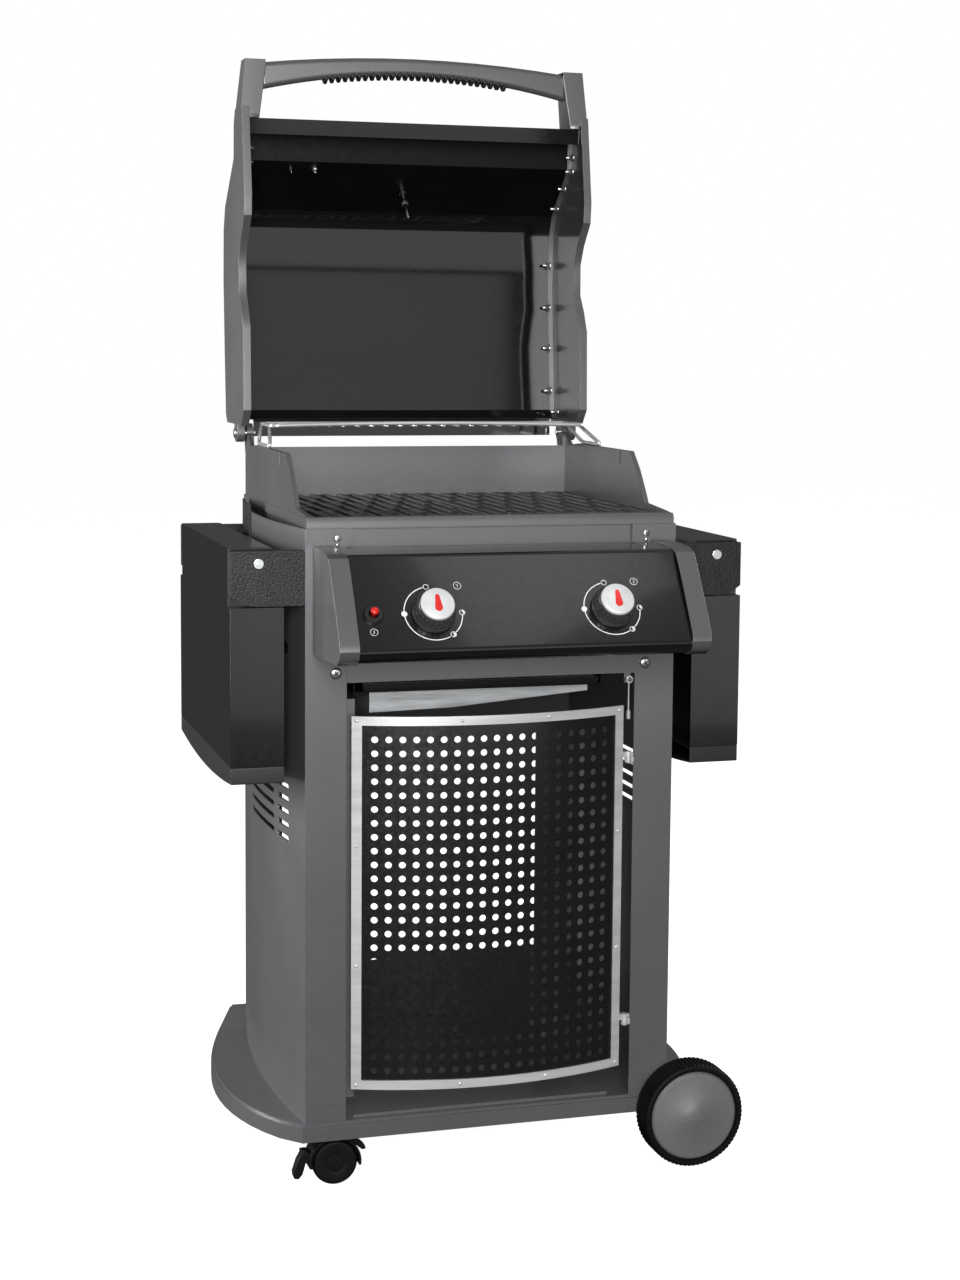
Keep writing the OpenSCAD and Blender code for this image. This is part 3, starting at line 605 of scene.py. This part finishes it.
def door_rivets():
    """Rivets along the door's metal edge: four above, four below and two up each side."""
    frame_low, frame_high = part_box("door_frame")
    inset, frame_thickness, rivet_radius, rivet_height = 0.0062, 0.0025, 0.0028, 0.0012
    x0, x1 = DOOR_LOW.x + inset, DOOR_HIGH.x - inset
    z0, z1 = frame_low.z + inset, frame_high.z - inset
    spots = [(x, z) for z in (z0, z1) for x in (x0, x0 + (x1 - x0) * 0.37, x0 + (x1 - x0) * 0.70, x1)]
    spots += [(x, z0 + (z1 - z0) * share) for share in (0.33, 0.66) for x in (x0, x1)]
    heads = []
    for x, z in spots:
        point = on_door(x, z, frame_thickness)
        outward = on_door(x, z, 4 * frame_thickness) - point
        heads.append(dome("rivet", basis(point, outward), rivet_radius, rivet_height))
    return finish_piece(joined("door_rivets", heads), "door", "anodised")


# ---------------------------------------------------------------- wheels and casters


def ribbed_tyre(name, node, body, outward):
    """Tyre with fine cross ribs on the tread and a raised bead."""
    low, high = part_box(node)
    half = (high.y - low.y) / 2
    radius = (high.x - low.x) / 2
    place = basis((low + high) / 2, (0, outward, 0))
    ribs, per_rib, groove = 72, 4, 0.0016
    bead_radius = radius * 0.855
    bead = [(bead_radius, half - 0.003), (bead_radius + 0.0012, half - 0.0004)]
    wall = [(radius * 0.93, half), (radius * 0.975, half - 0.0016)]
    side = bead + wall + [(radius, half - 0.006)]
    profile = side + [(r, -h) for r, h in reversed(side)]
    shoulder_rows, tread_rows = (3, 6), (4, 5)
    steps, rows = ribs * per_rib, len(profile)
    verts, faces = [], []
    for i in range(steps):
        angle = 2 * math.pi * i / steps
        dip = 0.0 if i % per_rib < per_rib / 2 else groove
        for k, (r, h) in enumerate(profile):
            if k in tread_rows:
                r -= dip
            elif k in shoulder_rows:
                r -= dip / 2
            verts.append(place @ Vector((r * math.cos(angle), r * math.sin(angle), h)))
    for i in range(steps):
        j = (i + 1) % steps
        for k in range(rows):
            n = (k + 1) % rows
            faces.append((i * rows + k, j * rows + k, j * rows + n, i * rows + n))
    obj = mesh_object(name, verts, faces)
    return finish_piece(obj, body, "tyre_rubber", (node,))


def wheel_cover(name, node, body, outward):
    """Painted wheel face: a shallow dished disc with a raised centre cap."""
    low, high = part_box(node)
    half = (high.y - low.y) / 2
    radius = (high.x - low.x) / 2
    rim, foot = radius - 0.0004, radius - 0.0005
    face = half + 0.0006
    inside = face - 0.016
    profile = [(0, face + 0.0004), (0.014, face + 0.0004), (0.0155, face - 0.0004)]
    profile += [(radius - 0.008, face - 0.0006), (radius - 0.003, face - 0.0014), (rim, face - 0.004)]
    profile += [(rim, face - 0.012), (radius - 0.006, face - 0.012), (radius - 0.008, 0.006 - half)]
    profile += [(foot, 0.003 - half), (foot, -half), (radius - 0.010, -half), (radius - 0.012, inside)]
    profile += [(0.02, inside), (0.0165, 0.002 - half), (0.015, -half), (0.0053, -half)]
    profile += [(0.0053, face - 0.006)]
    cover = lathed(name, profile, basis((low + high) / 2, (0, outward, 0)), 96, 35)
    # The lighter grey on the wheel face is painted light, as the face has the body's grey
    return finish_piece(cover, body, "hub_grey_painted_light", (node,))


def caster_wheels(name, node, body):
    """The two discs of a caster and the pin between them."""
    low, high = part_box(node)
    half = (high.y - low.y) / 2
    radius = (high.x - low.x) / 2
    pin_radius = 0.0031
    hub_face, inner_face = half - 0.0005, half - 0.014
    hub = [(0, half - 0.0015), (0.011, half - 0.0015), (0.0115, hub_face), (0.0135, hub_face)]
    web = [(0.014, half - 0.0015), (radius - 0.006, half), (radius - 0.003, hub_face)]
    tread = [(radius - 0.0008, half - 0.003), (radius, half - 0.006), (radius, half - 0.011)]
    back = [(radius - 0.002, inner_face), (0.008, inner_face), (pin_radius, inner_face), (pin_radius, 0)]
    profile = hub + web + tread + back
    place = basis((low + high) / 2, (0, 1, 0))
    wheels = [lathed("disc", [(r, sign * h) for r, h in profile], place, 64, 30) for sign in (1, -1)]
    return finish_piece(joined(name, wheels), body, "dark_plastic", (node,))


# ---------------------------------------------------------------- control panel


def face_place(joint):
    """On a turning or pressed part's joint, with Z along its axis."""
    spec = JOINT[joint]
    return basis(Vector(spec["pos_m"]), spec["axis"])


def knob(side):
    """Dark grip with a silver crown and a generic red pointer."""
    place = face_place(side + "_knob_turn")
    body = side + "_knob"
    grip = mm((3.2, 0.5), (29.3, 0.5), (30, 1.4), (30, 4.4), (29.2, 6.2), (28.1, 7.2), (26.2, 21.5))
    grip += mm((25.2, 24.2), (24, 25.6), (0, 25.8))
    shell = lathed(side + "_knob_grip", grip, place, 72, 40)
    finish_piece(shell, body, "knob_grey", ("knob_" + side,))
    crown = mm((0, 25), (23.3, 25), (23.3, 27.2), (22.4, 28.8), (20, 29.9), (0, 30.6))
    cap = lathed(side + "_knob_crown", crown, place, 72, 35)
    finish_piece(cap, body, "silver_plastic")
    top = place @ Matrix.Translation((0, 0, 0.0304))
    broad_end = arc(0.0052, 180, 360, 16, (0, -0.0070))
    narrow_end = arc(0.0030, 0, 180, 12, (0, 0.0095))
    pointer = plate(side + "_knob_pointer", broad_end + narrow_end, top, -0.0006, 0.0005)
    finish_piece(pointer, body, "red_plastic")
    count, rib_radius = 24, 0.0011
    (foot_radius, foot_height), (head_radius, head_height) = mm((27.9, 8), (25.8, 22))
    ribs = []
    for i in range(count):
        angle = 2 * math.pi * (i + 0.5) / count
        way = Vector((math.cos(angle), math.sin(angle), 0))
        foot = place @ (way * foot_radius + Vector((0, 0, foot_height)))
        head = place @ (way * head_radius + Vector((0, 0, head_height)))
        ribs.append(strut("rib", foot, head, rib_radius, 8))
    finish_piece(joined(side + "_knob_ribs", ribs), body, "knob_grey")


def strut(name, start, end, radius, steps=16):
    """A round bar with slightly rounded ends."""
    length = (end - start).length
    side = Vector((1, 0, 0)) if abs((end - start).normalized().x) < 0.9 else Vector((0, 1, 0))
    soft = min(radius * 0.5, length * 0.1)
    near_end = [(0, 0), (radius - soft, 0), (radius, soft)]
    far_end = [(r, length - h) for r, h in reversed(near_end)]
    return lathed(name, near_end + far_end, basis(start, end - start, side), steps, 50)


def digit(number, place):
    """A plain dial numeral about 5 mm high."""
    if number == 1:
        lines = [mm((-1.1, 1.3), (0.3, 2.3), (0.3, -2.3))]
    else:
        bow = arc(0.0012, 160, -40, 10, (0, 0.0011))
        lines = [bow + mm((-1.3, -2.2), (1.4, -2.2))]
    return [ribbon("digit", line, 0.0006, place) for line in lines]


def ink_ring(radius, width, place):
    """A thin printed circle."""
    return ribbon("ring", arc(radius, 0, 345, 22), width, place, closed=True)


def dial_print(side, number):
    """Ring of arcs, small level symbols and the burner's number."""
    place = face_place(side + "_knob_turn")
    radius, line = 0.0395, 0.0013
    sweeps = ((104, 175), (186, 298), (313, 354))
    levels = ((97, 0), (180, 1), (306, 0.5), (0, 0.25))
    parts = [ribbon("sweep", arc(radius, start, end, 32), line, place) for start, end in sweeps]
    for angle, filled in levels:
        way = math.radians(angle)
        spot = place @ Matrix.Translation((radius * math.cos(way), radius * math.sin(way), 0))
        if filled == 1:
            parts.append(disc("level", 0.0040, spot))
            continue
        parts.append(ink_ring(0.0036, 0.0008, spot))
        if filled:
            half = arc(0.0018, 90, -90 + 180 * (0.5 - filled), 10)
            parts.append(ribbon("half", half, 0.0018, spot))
    spot = place @ Matrix.Translation((0.0385, 0.0400, 0))
    parts.append(ink_ring(0.0052, 0.0006, spot))
    parts += digit(number, spot)
    return finish_piece(joined(side + "_dial_print", parts), "cart", "print_white")


def igniter_parts():
    """Collar, red cap and printed spark, level with the knobs."""
    low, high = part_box("igniter_socket")
    middle = Vector(JOINT["left_knob_turn"]["pos_m"])
    middle.x = (low.x + high.x) / 2
    place = basis(middle, JOINT["left_knob_turn"]["axis"])
    collar = mm((6.2, -6), (6.2, 4), (7.5, 5), (12, 4.8), (13.8, 3), (14, 0), (9, 0), (9, -28), (6.2, -28))
    socket = lathed("igniter_collar", collar, place, 64, 40)
    finish_piece(socket, "cart", "black_plastic", ("igniter_socket",))
    stem = mm((0, 14.9), (3.2, 14.6), (4.8, 13.6), (5.5, 11.8), (5.5, 9.2), (4.7, 8.4), (4.7, -7.8))
    stem += mm((0, -7.8))
    button = lathed("igniter_cap", stem, place, 48, 50)
    finish_piece(button, "igniter_button", "red_plastic", ("igniter_button",))
    spot = place @ Matrix.Translation((-0.0020, -0.0255, 0))
    bolt = mm((1, 2.6), (-1, 0.2), (0.8, 0), (-1, -2.6))
    parts = [ink_ring(0.0050, 0.0006, spot), ribbon("spark", bolt, 0.0007, spot)]
    finish_piece(joined("igniter_print", parts), "cart", "print_white")


# ---------------------------------------------------------------- lid


def lid_bolts():
    """Bolt ends that hold the end castings, inside the lid."""
    inner_face_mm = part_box("lid_shroud")[1].x * 1000
    bolt_length, bolt_radius, stand_off = 0.0125, 0.0025, 0.0005
    spots = [(470, 1481), (472, 1459), (510, 1434), (548, 1404), (585, 1313), (585, 1244), (583, 1177)]
    spots += [(572, 1107), (535, 1073)]
    washer = mm((0, 1.6), (6.2, 1.4), (6.6, 0.8), (6.6, 0))
    nut = mm((0, 6.2), (3.2, 6), (4.4, 5), (4.4, 1.4))
    ends = []
    for sign in (-1, 1):
        inward = Vector((-sign, 0, 0))
        for y, z in spots:
            base = at(sign * inner_face_mm, y, z) + inward * stand_off
            place = basis(base, inward, Vector((0, 1, 0)))
            ends.append(lathed("washer", washer, place, 20, 60))
            ends.append(lathed("nut", nut, place, 6, 30))
            ends.append(strut("bolt", base, base + inward * bolt_length, bolt_radius, 14))
    return finish_piece(joined("lid_bolt_ends", ends), "lid", "screw_steel")


def paint_slope_shade(shroud):
    """Painted shade: the inward faces of the sheet between the lip and the back get a near-black matt
    material.
    """
    shroud.data.materials.append(M["slope_painted_shade"])
    low, high, behind = at(0, 0, 1392).z, at(0, 0, 1500).z, at(0, 585, 0).y
    for polygon in shroud.data.polygons:
        centre, normal = polygon.center, polygon.normal
        # Inward faces on the slope get the near-black material as painted shade
        faces_inward = normal.y < -0.3 and normal.z < 0.3
        if faces_inward and low < centre.z < high and centre.y < behind:
            polygon.material_index = 1


def gauge_place():
    """On the thermometer's axis, with Z out of the lid."""
    spec = JOINT["thermometer_needle_turn"]
    return basis(Vector(spec["pos_m"]), -Vector(spec["axis"]), Vector((-1, 0, 0)))


def lid_trim():
    """Bolt ends on the slope, and the probe's clip."""
    # The way the slope's inner side faces
    slope = Vector((0, -0.668, -0.744))
    bolt_length = 0.0125
    parts = []
    for x, radius in ((-149, 0.0048), (-187, 0.0020)):
        base = at(x, 508, 1456)
        nut = [(0, 0.0062), (radius * 0.8, 0.0060), (radius, 0.0050), (radius, -0.002)]
        parts.append(lathed("nut", nut, basis(base, slope), 6, 30))
        parts.append(strut("bolt", base, base + slope * bolt_length, radius * 0.55, 14))
    finish_piece(joined("lid_slope_bolts", parts), "lid", "screw_steel")
    clip = mm((3.1, -36), (5.2, -35.5), (5.6, -33.5), (5.2, -31.5), (3.1, -31))
    finish_piece(lathed("probe_clip", clip, gauge_place(), 32, 60), "lid", "screw_steel")


def thermometer():
    """Chrome case with its probe, dial, tick marks and glass."""
    place = gauge_place()
    case = mm((0, 8.5), (27.5, 8.5), (28, 15), (29, 16), (30.2, 15.5), (31, 13), (31, 0), (6, 0), (6, -12))
    case += mm((3.5, -12.5), (3, -14), (3, -64), (1.8, -66), (0, -66))
    shell = lathed("thermometer_shell", case, place, 72, 40)
    finish_piece(shell, "lid", "gauge_chrome", ("thermometer_case",))
    dial_height, dial_thickness = 0.0085, 0.0004
    dial_place = place @ Matrix.Translation((0, 0, dial_height))
    dial = disc("thermometer_dial", 0.0272, dial_place, dial_thickness, 64)
    finish_piece(dial, "lid", "dial_white")
    level = place @ Matrix.Translation((0, 0, dial_height + dial_thickness))
    count, per_long_tick, first_angle, sweep = 26, 5, 225, 270
    outer = 0.0255
    ticks = []
    for i in range(count):
        angle = math.radians(first_angle - i * sweep / (count - 1))
        inner, width = (0.0225, 0.0007) if i % per_long_tick else (0.0205, 0.0012)
        ends = [(math.cos(angle) * reach, math.sin(angle) * reach) for reach in (inner, outer)]
        ticks.append(ribbon("tick", ends, width, level, 0.0002))
    finish_piece(joined("thermometer_ticks", ticks), "lid", "black_plastic")
    lens = mm((0, 14.8), (27.6, 14.2), (27.6, 13.2), (0, 13.6))
    finish_piece(lathed("thermometer_lens", lens, place, 64, 40), "lid", "lens")


def handle_ribs():
    """Rounded ribs of the grip, each in place of a CAD rib."""
    low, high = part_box("handle_grip")
    mid_y = (low.y + high.y) / 2
    count, parts = 28, 12
    pitch = (high.x - low.x) / (count - 0.72)
    half_span, arch = 0.246, 0.030
    half_depth, depth_below, crest = 0.0105, 0.0085, 0.0065
    # Across a rib: place along the handle, and how much of the extra depth it has
    section = ((-0.0028, 0.0), (-0.0016, 1.0), (0.0016, 1.0), (0.0028, 0.0))
    rows = len(section) + 1
    ribs = []
    for i in range(count):
        x = low.x + pitch * (i + 0.14) + 0.0006
        z = high.z + crest - arch * (x / half_span) ** 2
        verts, faces = [], []
        for j in range(parts + 1):
            angle = math.pi * j / parts
            y = mid_y - half_depth * math.cos(angle)
            drop = depth_below * math.sin(angle) ** 0.7
            for dx, extra in section:
                verts.append(Vector((x + dx, y, z - 0.005 - drop * (0.55 + 0.45 * extra))))
            verts.append(Vector((x, y, z - 0.002)))
        for j in range(parts):
            a, b = rows * j, rows * (j + 1)
            for k in range(rows):
                n = (k + 1) % rows
                faces.append((a + k, a + n, b + n, b + k))
        faces += [tuple(range(rows)), tuple(rows * parts + k for k in reversed(range(rows)))]
        ribs.append(mesh_object("rib", verts, faces, smooth=True))
    grip = joined("handle_ribs", ribs)
    return finish_piece(grip, "lid", "black_plastic", ("handle_grip",))


# ---------------------------------------------------------------- screws and small trim


def screw_heads():
    """Pan heads whose cross recess is painted shade, thin black lines on the head, in place of the plain
    CAD screws.
    """
    # x, z and y of a head's seat, its radius, and 1 at the front or -1 at the back
    spots = [(225.5, 734, 0, 8.5, 1), (224, 920, -0.5, 5.6, 1), (224, 911, -0.4, 3.0, 1)]
    spots += [(225, 150, 463.3, 7, -1), (225, 905, 463.3, 7, -1)]
    head_height = 0.0030
    heads, recess_shade_lines = [], []
    for x, z, y, radius_mm, way in spots:
        radius = radius_mm / 1000
        crown = [(0, head_height), (radius * 0.55, 0.0029), (radius * 0.85, 0.0022), (radius, 0.0008)]
        shank = [(radius, 0), (radius * 0.45, 0), (radius * 0.45, -0.0075), (0, -0.0075)]
        for sign in (-1, 1):
            place = basis(at(sign * x, y, z), Vector((0, -way, 0)))
            heads.append(lathed("head", crown + shank, place, 40, 60))
            top = place @ Matrix.Translation((0, 0, head_height))
            # The cross recess is not cut: two thin black lines on the head are its painted shade
            for angle in (30, 120):
                arm = Vector((math.cos(math.radians(angle)), math.sin(math.radians(angle)))) * radius * 0.42
                recess_shade_lines.append(ribbon("cross", [tuple(-arm), tuple(arm)], radius * 0.2, top, 0.00012))
    finish_piece(joined("screw_heads", heads), "cart", "screw_steel", ("frame_screws",))
    finish_piece(joined("screw_recess_painted_shade", recess_shade_lines), "cart", "black_plastic")


# ---------------------------------------------------------------- grates and warming rack


def grate(node):
    """Cast grate: rounded bars that swell into each other, with slots that step from gap to gap."""
    low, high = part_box(node)
    count, half, stations = 12, 0.0048, 120
    webs, web_reach, overlap = 3, 0.011, 0.0002
    pitch = (high.x - low.x - 2 * half) / (count - 1)
    swell = pitch / 2 - half + overlap
    step = (high.y - low.y) / webs
    # Half of a bar's section: share of its half width, and depth below its top
    right_half = ((0.4, 0), (0.78, -0.0003), (1, -0.0014), (1, -0.0088))
    section = tuple((-side, z) for side, z in reversed(right_half)) + right_half
    rows = len(section)
    bars = []

    def web(y, phase):
        turns = (y - low.y) / step - phase
        near = abs(turns - round(turns)) * step
        return math.exp(-((near / web_reach) ** 2))

    for i in range(count):
        x = low.x + half + pitch * i
        phases = (0.0, 0.5) if i % 2 else (0.5, 0.0)
        verts, faces = [], []
        for j in range(stations + 1):
            y = low.y + (high.y - low.y) * j / stations
            reach = [half + swell * web(y, phase) for phase in phases]
            if i == 0:
                reach[0] = half
            if i == count - 1:
                reach[1] = half
            for side, z in section:
                verts.append(Vector((x + side * reach[side > 0], y, high.z + z)))
        for j in range(stations):
            a, b = rows * j, rows * (j + 1)
            faces += [(a + k, a + (k + 1) % rows, b + (k + 1) % rows, b + k) for k in range(rows)]
        faces += [tuple(range(rows)), tuple(rows * stations + k for k in reversed(range(rows)))]
        bars.append(mesh_object("bar", verts, faces, smooth=True))
    foot_depth, foot_drop = 0.008, 0.003
    for y in (13.5, 159, 310, 455):
        foot = at(0, y, 0).y
        far_corner = Vector((high.x, foot + foot_depth, high.z - foot_drop))
        bars.append(brick(Vector((low.x, foot, low.z)), far_corner))
    return finish_piece(joined(node + "_cast", bars), BODY[node], "grate_enamel", (node,))


def warming_rack():
    """Bent wire rack: a rounded loop, fine cross wires and a pair of looped legs."""
    low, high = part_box("warming_rack")
    thick, thin, rise, corner_radius = 0.003, 0.0016, 0.0035, 0.012
    reach = high.x - thick
    front, back = low.y + thick, high.y - thick
    level = low.z + thick
    front_parts = 20
    loop = []
    for i in range(front_parts + 1):
        x = -reach + 2 * reach * i / front_parts
        loop.append(Vector((x, front, level + rise * (1 - (x / reach) ** 2))))
    loop += [Vector((reach, back, level)), Vector((-reach, back, level))]
    corners = (0, front_parts, front_parts + 1, front_parts + 2)
    rim = []
    for i, point in enumerate(loop):
        if i in corners:
            around = [loop[i - 1], point, loop[(i + 1) % len(loop)]]
            rim += filleted(around, corner_radius)[1:-1]
        else:
            rim.append(point)
    wires = [wire("rim", rim, thick, 16, True)]
    count, drop = 21, 0.0008
    for i in range(1, count + 1):
        x = -reach + 2 * reach * i / (count + 1)
        ends = [Vector((x, y, level - drop)) for y in (front, back)]
        wires.append(wire("cross", ends, thin, 10))
    rack = joined("rack_wires", wires)
    finish_piece(rack, BODY["warming_rack"], "chrome_wire", ("warming_rack",))
    loops = []
    for sign in (-1, 1):
        path = [at(sign * 247, 366, 1057), at(sign * 259.7, 300, 1030.4)]
        path += [at(sign * 259.7, 392, 1030.4), at(sign * 247, 432, 1057)]
        loops.append(wire("leg", filleted(path, corner_radius), 0.0029, 14))
    legs = joined("rack_leg_loops", loops)
    finish_piece(legs, BODY["rack_legs"], "chrome_wire", ("rack_legs",))


# ---------------------------------------------------------------- build

# The CAD nodes that keep their own shape: width of the rounded edges, and finish
REFINED = {
    "base_panel": (0.004, "grey_paint"),
    "side_panel_left": (0.0015, "grey_paint"),
    "side_panel_right": (0.0015, "grey_paint"),
    "front_cross_member": (0.001, "grey_paint"),
    "front_top_rail": (0.001, "grey_paint"),
    "corner_plates": (0.0005, "grey_paint"),
    "rear_lower_panel": (0.0008, "grey_paint"),
    "rear_upper_panel": (0.0008, "grey_paint"),
    "cookbox": (0.0018, "grey_paint"),
    "control_panel": (0.004, "black_enamel"),
    "panel_end_left": (0.005, "grey_paint"),
    "panel_end_right": (0.005, "grey_paint"),
    "lid_shroud": (0.004, "lid_inside"),
    "lid_end_left": (0.007, "light_grey_casting"),
    "lid_end_right": (0.007, "light_grey_casting"),
    "lid_handle": (0.008, "light_grey_casting"),
    "table_arms_left": (0.002, "textured_black"),
    "table_arms_right": (0.002, "textured_black"),
    "table_left": (0.0012, "black_enamel"),
    "table_right": (0.0012, "black_enamel"),
    "table_end_left": (0.004, "satin_black"),
    "table_end_right": (0.004, "satin_black"),
    "door_frame": (0.0006, "anodised"),
    "caster_front_hood": (0.0015, "dark_plastic"),
    "caster_rear_hood": (0.0015, "dark_plastic"),
    "caster_front_brake": (0.0012, "dark_plastic"),
    "caster_rear_brake": (0.0012, "dark_plastic"),
    "grease_tray": (0.0012, "tray_black"),
    "tray_rails": (0.0005, "tray_black"),
    "heat_tents": (0.0006, "dark_steel"),
    "burner_tubes": (0.0006, "tube_steel"),
    "gas_manifold": (0.001, "dark_steel"),
    "gas_valves": (0.001, "brass_fittings"),
    "igniter_electrode": (0.0004, "ceramic"),
    "match_holder": (0.0004, "chrome_wire"),
    "lid_hinge_pins": (0.0008, "screw_steel"),
    "table_pins": (0.0012, "screw_steel"),
    "thermometer_needle": (0.0002, "red_plastic"),
    "axle_rod": (0.0008, "screw_steel"),
    "caster_stems": (0.0008, "screw_steel"),
    "drip_pan": (0.0006, "bright_steel"),
    "door_hinge_brackets": (0.0008, "anodised"),
}

for node_name, (edge, paint) in REFINED.items():
    piece = refined(node_name, edge, paint)
    # The lid's inner slope gets painted shade
    if node_name == "lid_shroud":
        paint_slope_shade(piece)

for node_name, node_object in NODES.items():
    node_object.data.materials.clear()
    node_object.data.materials.append(M[SLOT[node_name]])

door_sheet()
door_rivets()
ribbed_tyre("front_tyre_tread", "wheel_front_tyre", "front_wheel", -1)
ribbed_tyre("rear_tyre_tread", "wheel_rear_tyre", "rear_wheel", 1)
wheel_cover("front_wheel_face", "wheel_front_hub", "front_wheel", -1)
wheel_cover("rear_wheel_face", "wheel_rear_hub", "rear_wheel", 1)
caster_wheels("front_caster_discs", "caster_front_wheels", "front_caster_wheels")
caster_wheels("rear_caster_discs", "caster_rear_wheels", "rear_caster_wheels")
knob("left")
knob("right")
dial_print("left", 1)
dial_print("right", 2)
igniter_parts()
lid_bolts()
lid_trim()
thermometer()
handle_ribs()
screw_heads()
grate("grate_left")
grate("grate_right")
warming_rack()

# ---------------------------------------------------------------- stage, light and camera


def stage():
    """A pale floor that glows a little, so that the object stands on white with a faint shadow."""
    size = 60.0
    corners = [(-size, -size, 0), (size, -size, 0), (size, size, 0), (-size, size, 0)]
    floor = mesh_object("floor", corners, [(0, 1, 2, 3)])
    mat = surface(
        "floor_white", (0.42, 0.42, 0.42), rough=(0.6, 0.7), shade=0.01, cloud=1, grain=40, bump=0.02,
        specular=0.0,
    )
    shader = mat.node_tree.nodes["Principled BSDF"]
    shader.inputs["Emission Color"].default_value = (1, 1, 1, 1)
    shader.inputs["Emission Strength"].default_value = 0.9
    floor.data.materials.append(mat)
    floor.visible_diffuse = False
    floor.visible_glossy = False


def softbox(name, place, target, size, power):
    """A rectangular light that faces its target; size is its width and height, power is in watts."""
    lamp = bpy.data.lights.new(name, "AREA")
    lamp.shape = "RECTANGLE"
    lamp.size, lamp.size_y = size
    lamp.energy = power
    obj = bpy.data.objects.new(name, lamp)
    obj.location = place
    obj.rotation_mode = "QUATERNION"
    obj.rotation_quaternion = (Vector(target) - Vector(place)).to_track_quat("-Z", "Y")
    bpy.context.scene.collection.objects.link(obj)


def sky():
    """White behind the object, and a dim room in its reflections."""
    world = bpy.data.worlds.new("studio")
    bpy.context.scene.world = world
    world.use_nodes = True
    nodes, links = world.node_tree.nodes, world.node_tree.links
    back = nodes["Background"]
    height = nodes.new("ShaderNodeSeparateXYZ")
    links.new(nodes.new("ShaderNodeTexCoord").outputs["Generated"], height.inputs[0])
    tone = nodes.new("ShaderNodeValToRGB")
    floor_end, top_end = tone.color_ramp.elements
    floor_end.position, floor_end.color = 0.0, (0.05, 0.05, 0.05, 1)
    top_end.position, top_end.color = 1.0, (0.32, 0.32, 0.32, 1)
    links.new(height.outputs["Z"], tone.inputs["Fac"])
    seen = nodes.new("ShaderNodeLightPath")
    mix = nodes.new("ShaderNodeMix")
    mix.data_type = "RGBA"
    links.new(seen.outputs["Is Camera Ray"], mix.inputs[0])
    room, paper, mixed = mix.inputs[6], mix.inputs[7], mix.outputs[2]
    links.new(tone.outputs["Color"], room)
    paper.default_value = (1, 1, 1, 1)
    links.new(mixed, back.inputs["Color"])
    back.inputs["Strength"].default_value = 1.0


def camera():
    """The photograph's standpoint: in front, to the left, at chest height."""
    standpoint = at(-883.3, -2974.8, 1195.2)
    yaw, pitch, roll = (math.radians(a) for a in (16.676, -5.693, 0.507))
    cam = bpy.data.cameras.new("camera")
    cam.sensor_width = 36
    cam.lens = 62.97
    cam.shift_x = -0.0156
    cam.shift_y = -0.0625
    obj = bpy.data.objects.new("camera", cam)
    way = Vector((math.sin(yaw) * math.cos(pitch), math.cos(yaw) * math.cos(pitch), math.sin(pitch)))
    right = way.cross(Vector((0, 0, 1))).normalized()
    up = right.cross(way)
    tilted_right = right * math.cos(roll) + up * math.sin(roll)
    tilted_up = up * math.cos(roll) - right * math.sin(roll)
    rotation = Matrix((tilted_right, tilted_up, -way)).transposed().to_4x4()
    obj.matrix_world = Matrix.Translation(standpoint) @ rotation
    bpy.context.scene.collection.objects.link(obj)
    bpy.context.scene.camera = obj


stage()
sky()
# What the lid's back sheet, the tables' fronts and the control panel mirror: high_fill, low_fill and top
softbox("key", (-0.95, -4.3, 1.8), (0, 0, 0.95), (1.7, 2.4), 255)
softbox("left", (-3.2, 0.9, 1.2), (0, 0, 0.9), (1.6, 2.0), 200)
softbox("right", (3.4, 0.7, 1.3), (0, 0, 0.9), (1.6, 2.0), 110)
softbox("high_fill", (0.87, -3.4, 1.98), (0, 0.25, 1.2), (0.92, 0.57), 1.2)
softbox("low_fill", (1.05, -3.4, 0.85), (0, 0, 0.85), (1.9, 1.55), 9)
softbox("top", (0.62, -1.16, 2.7), (0, -0.13, 0.85), (0.5, 0.6), 1.2)
camera()
bpy.context.scene.view_settings.view_transform = "Standard"
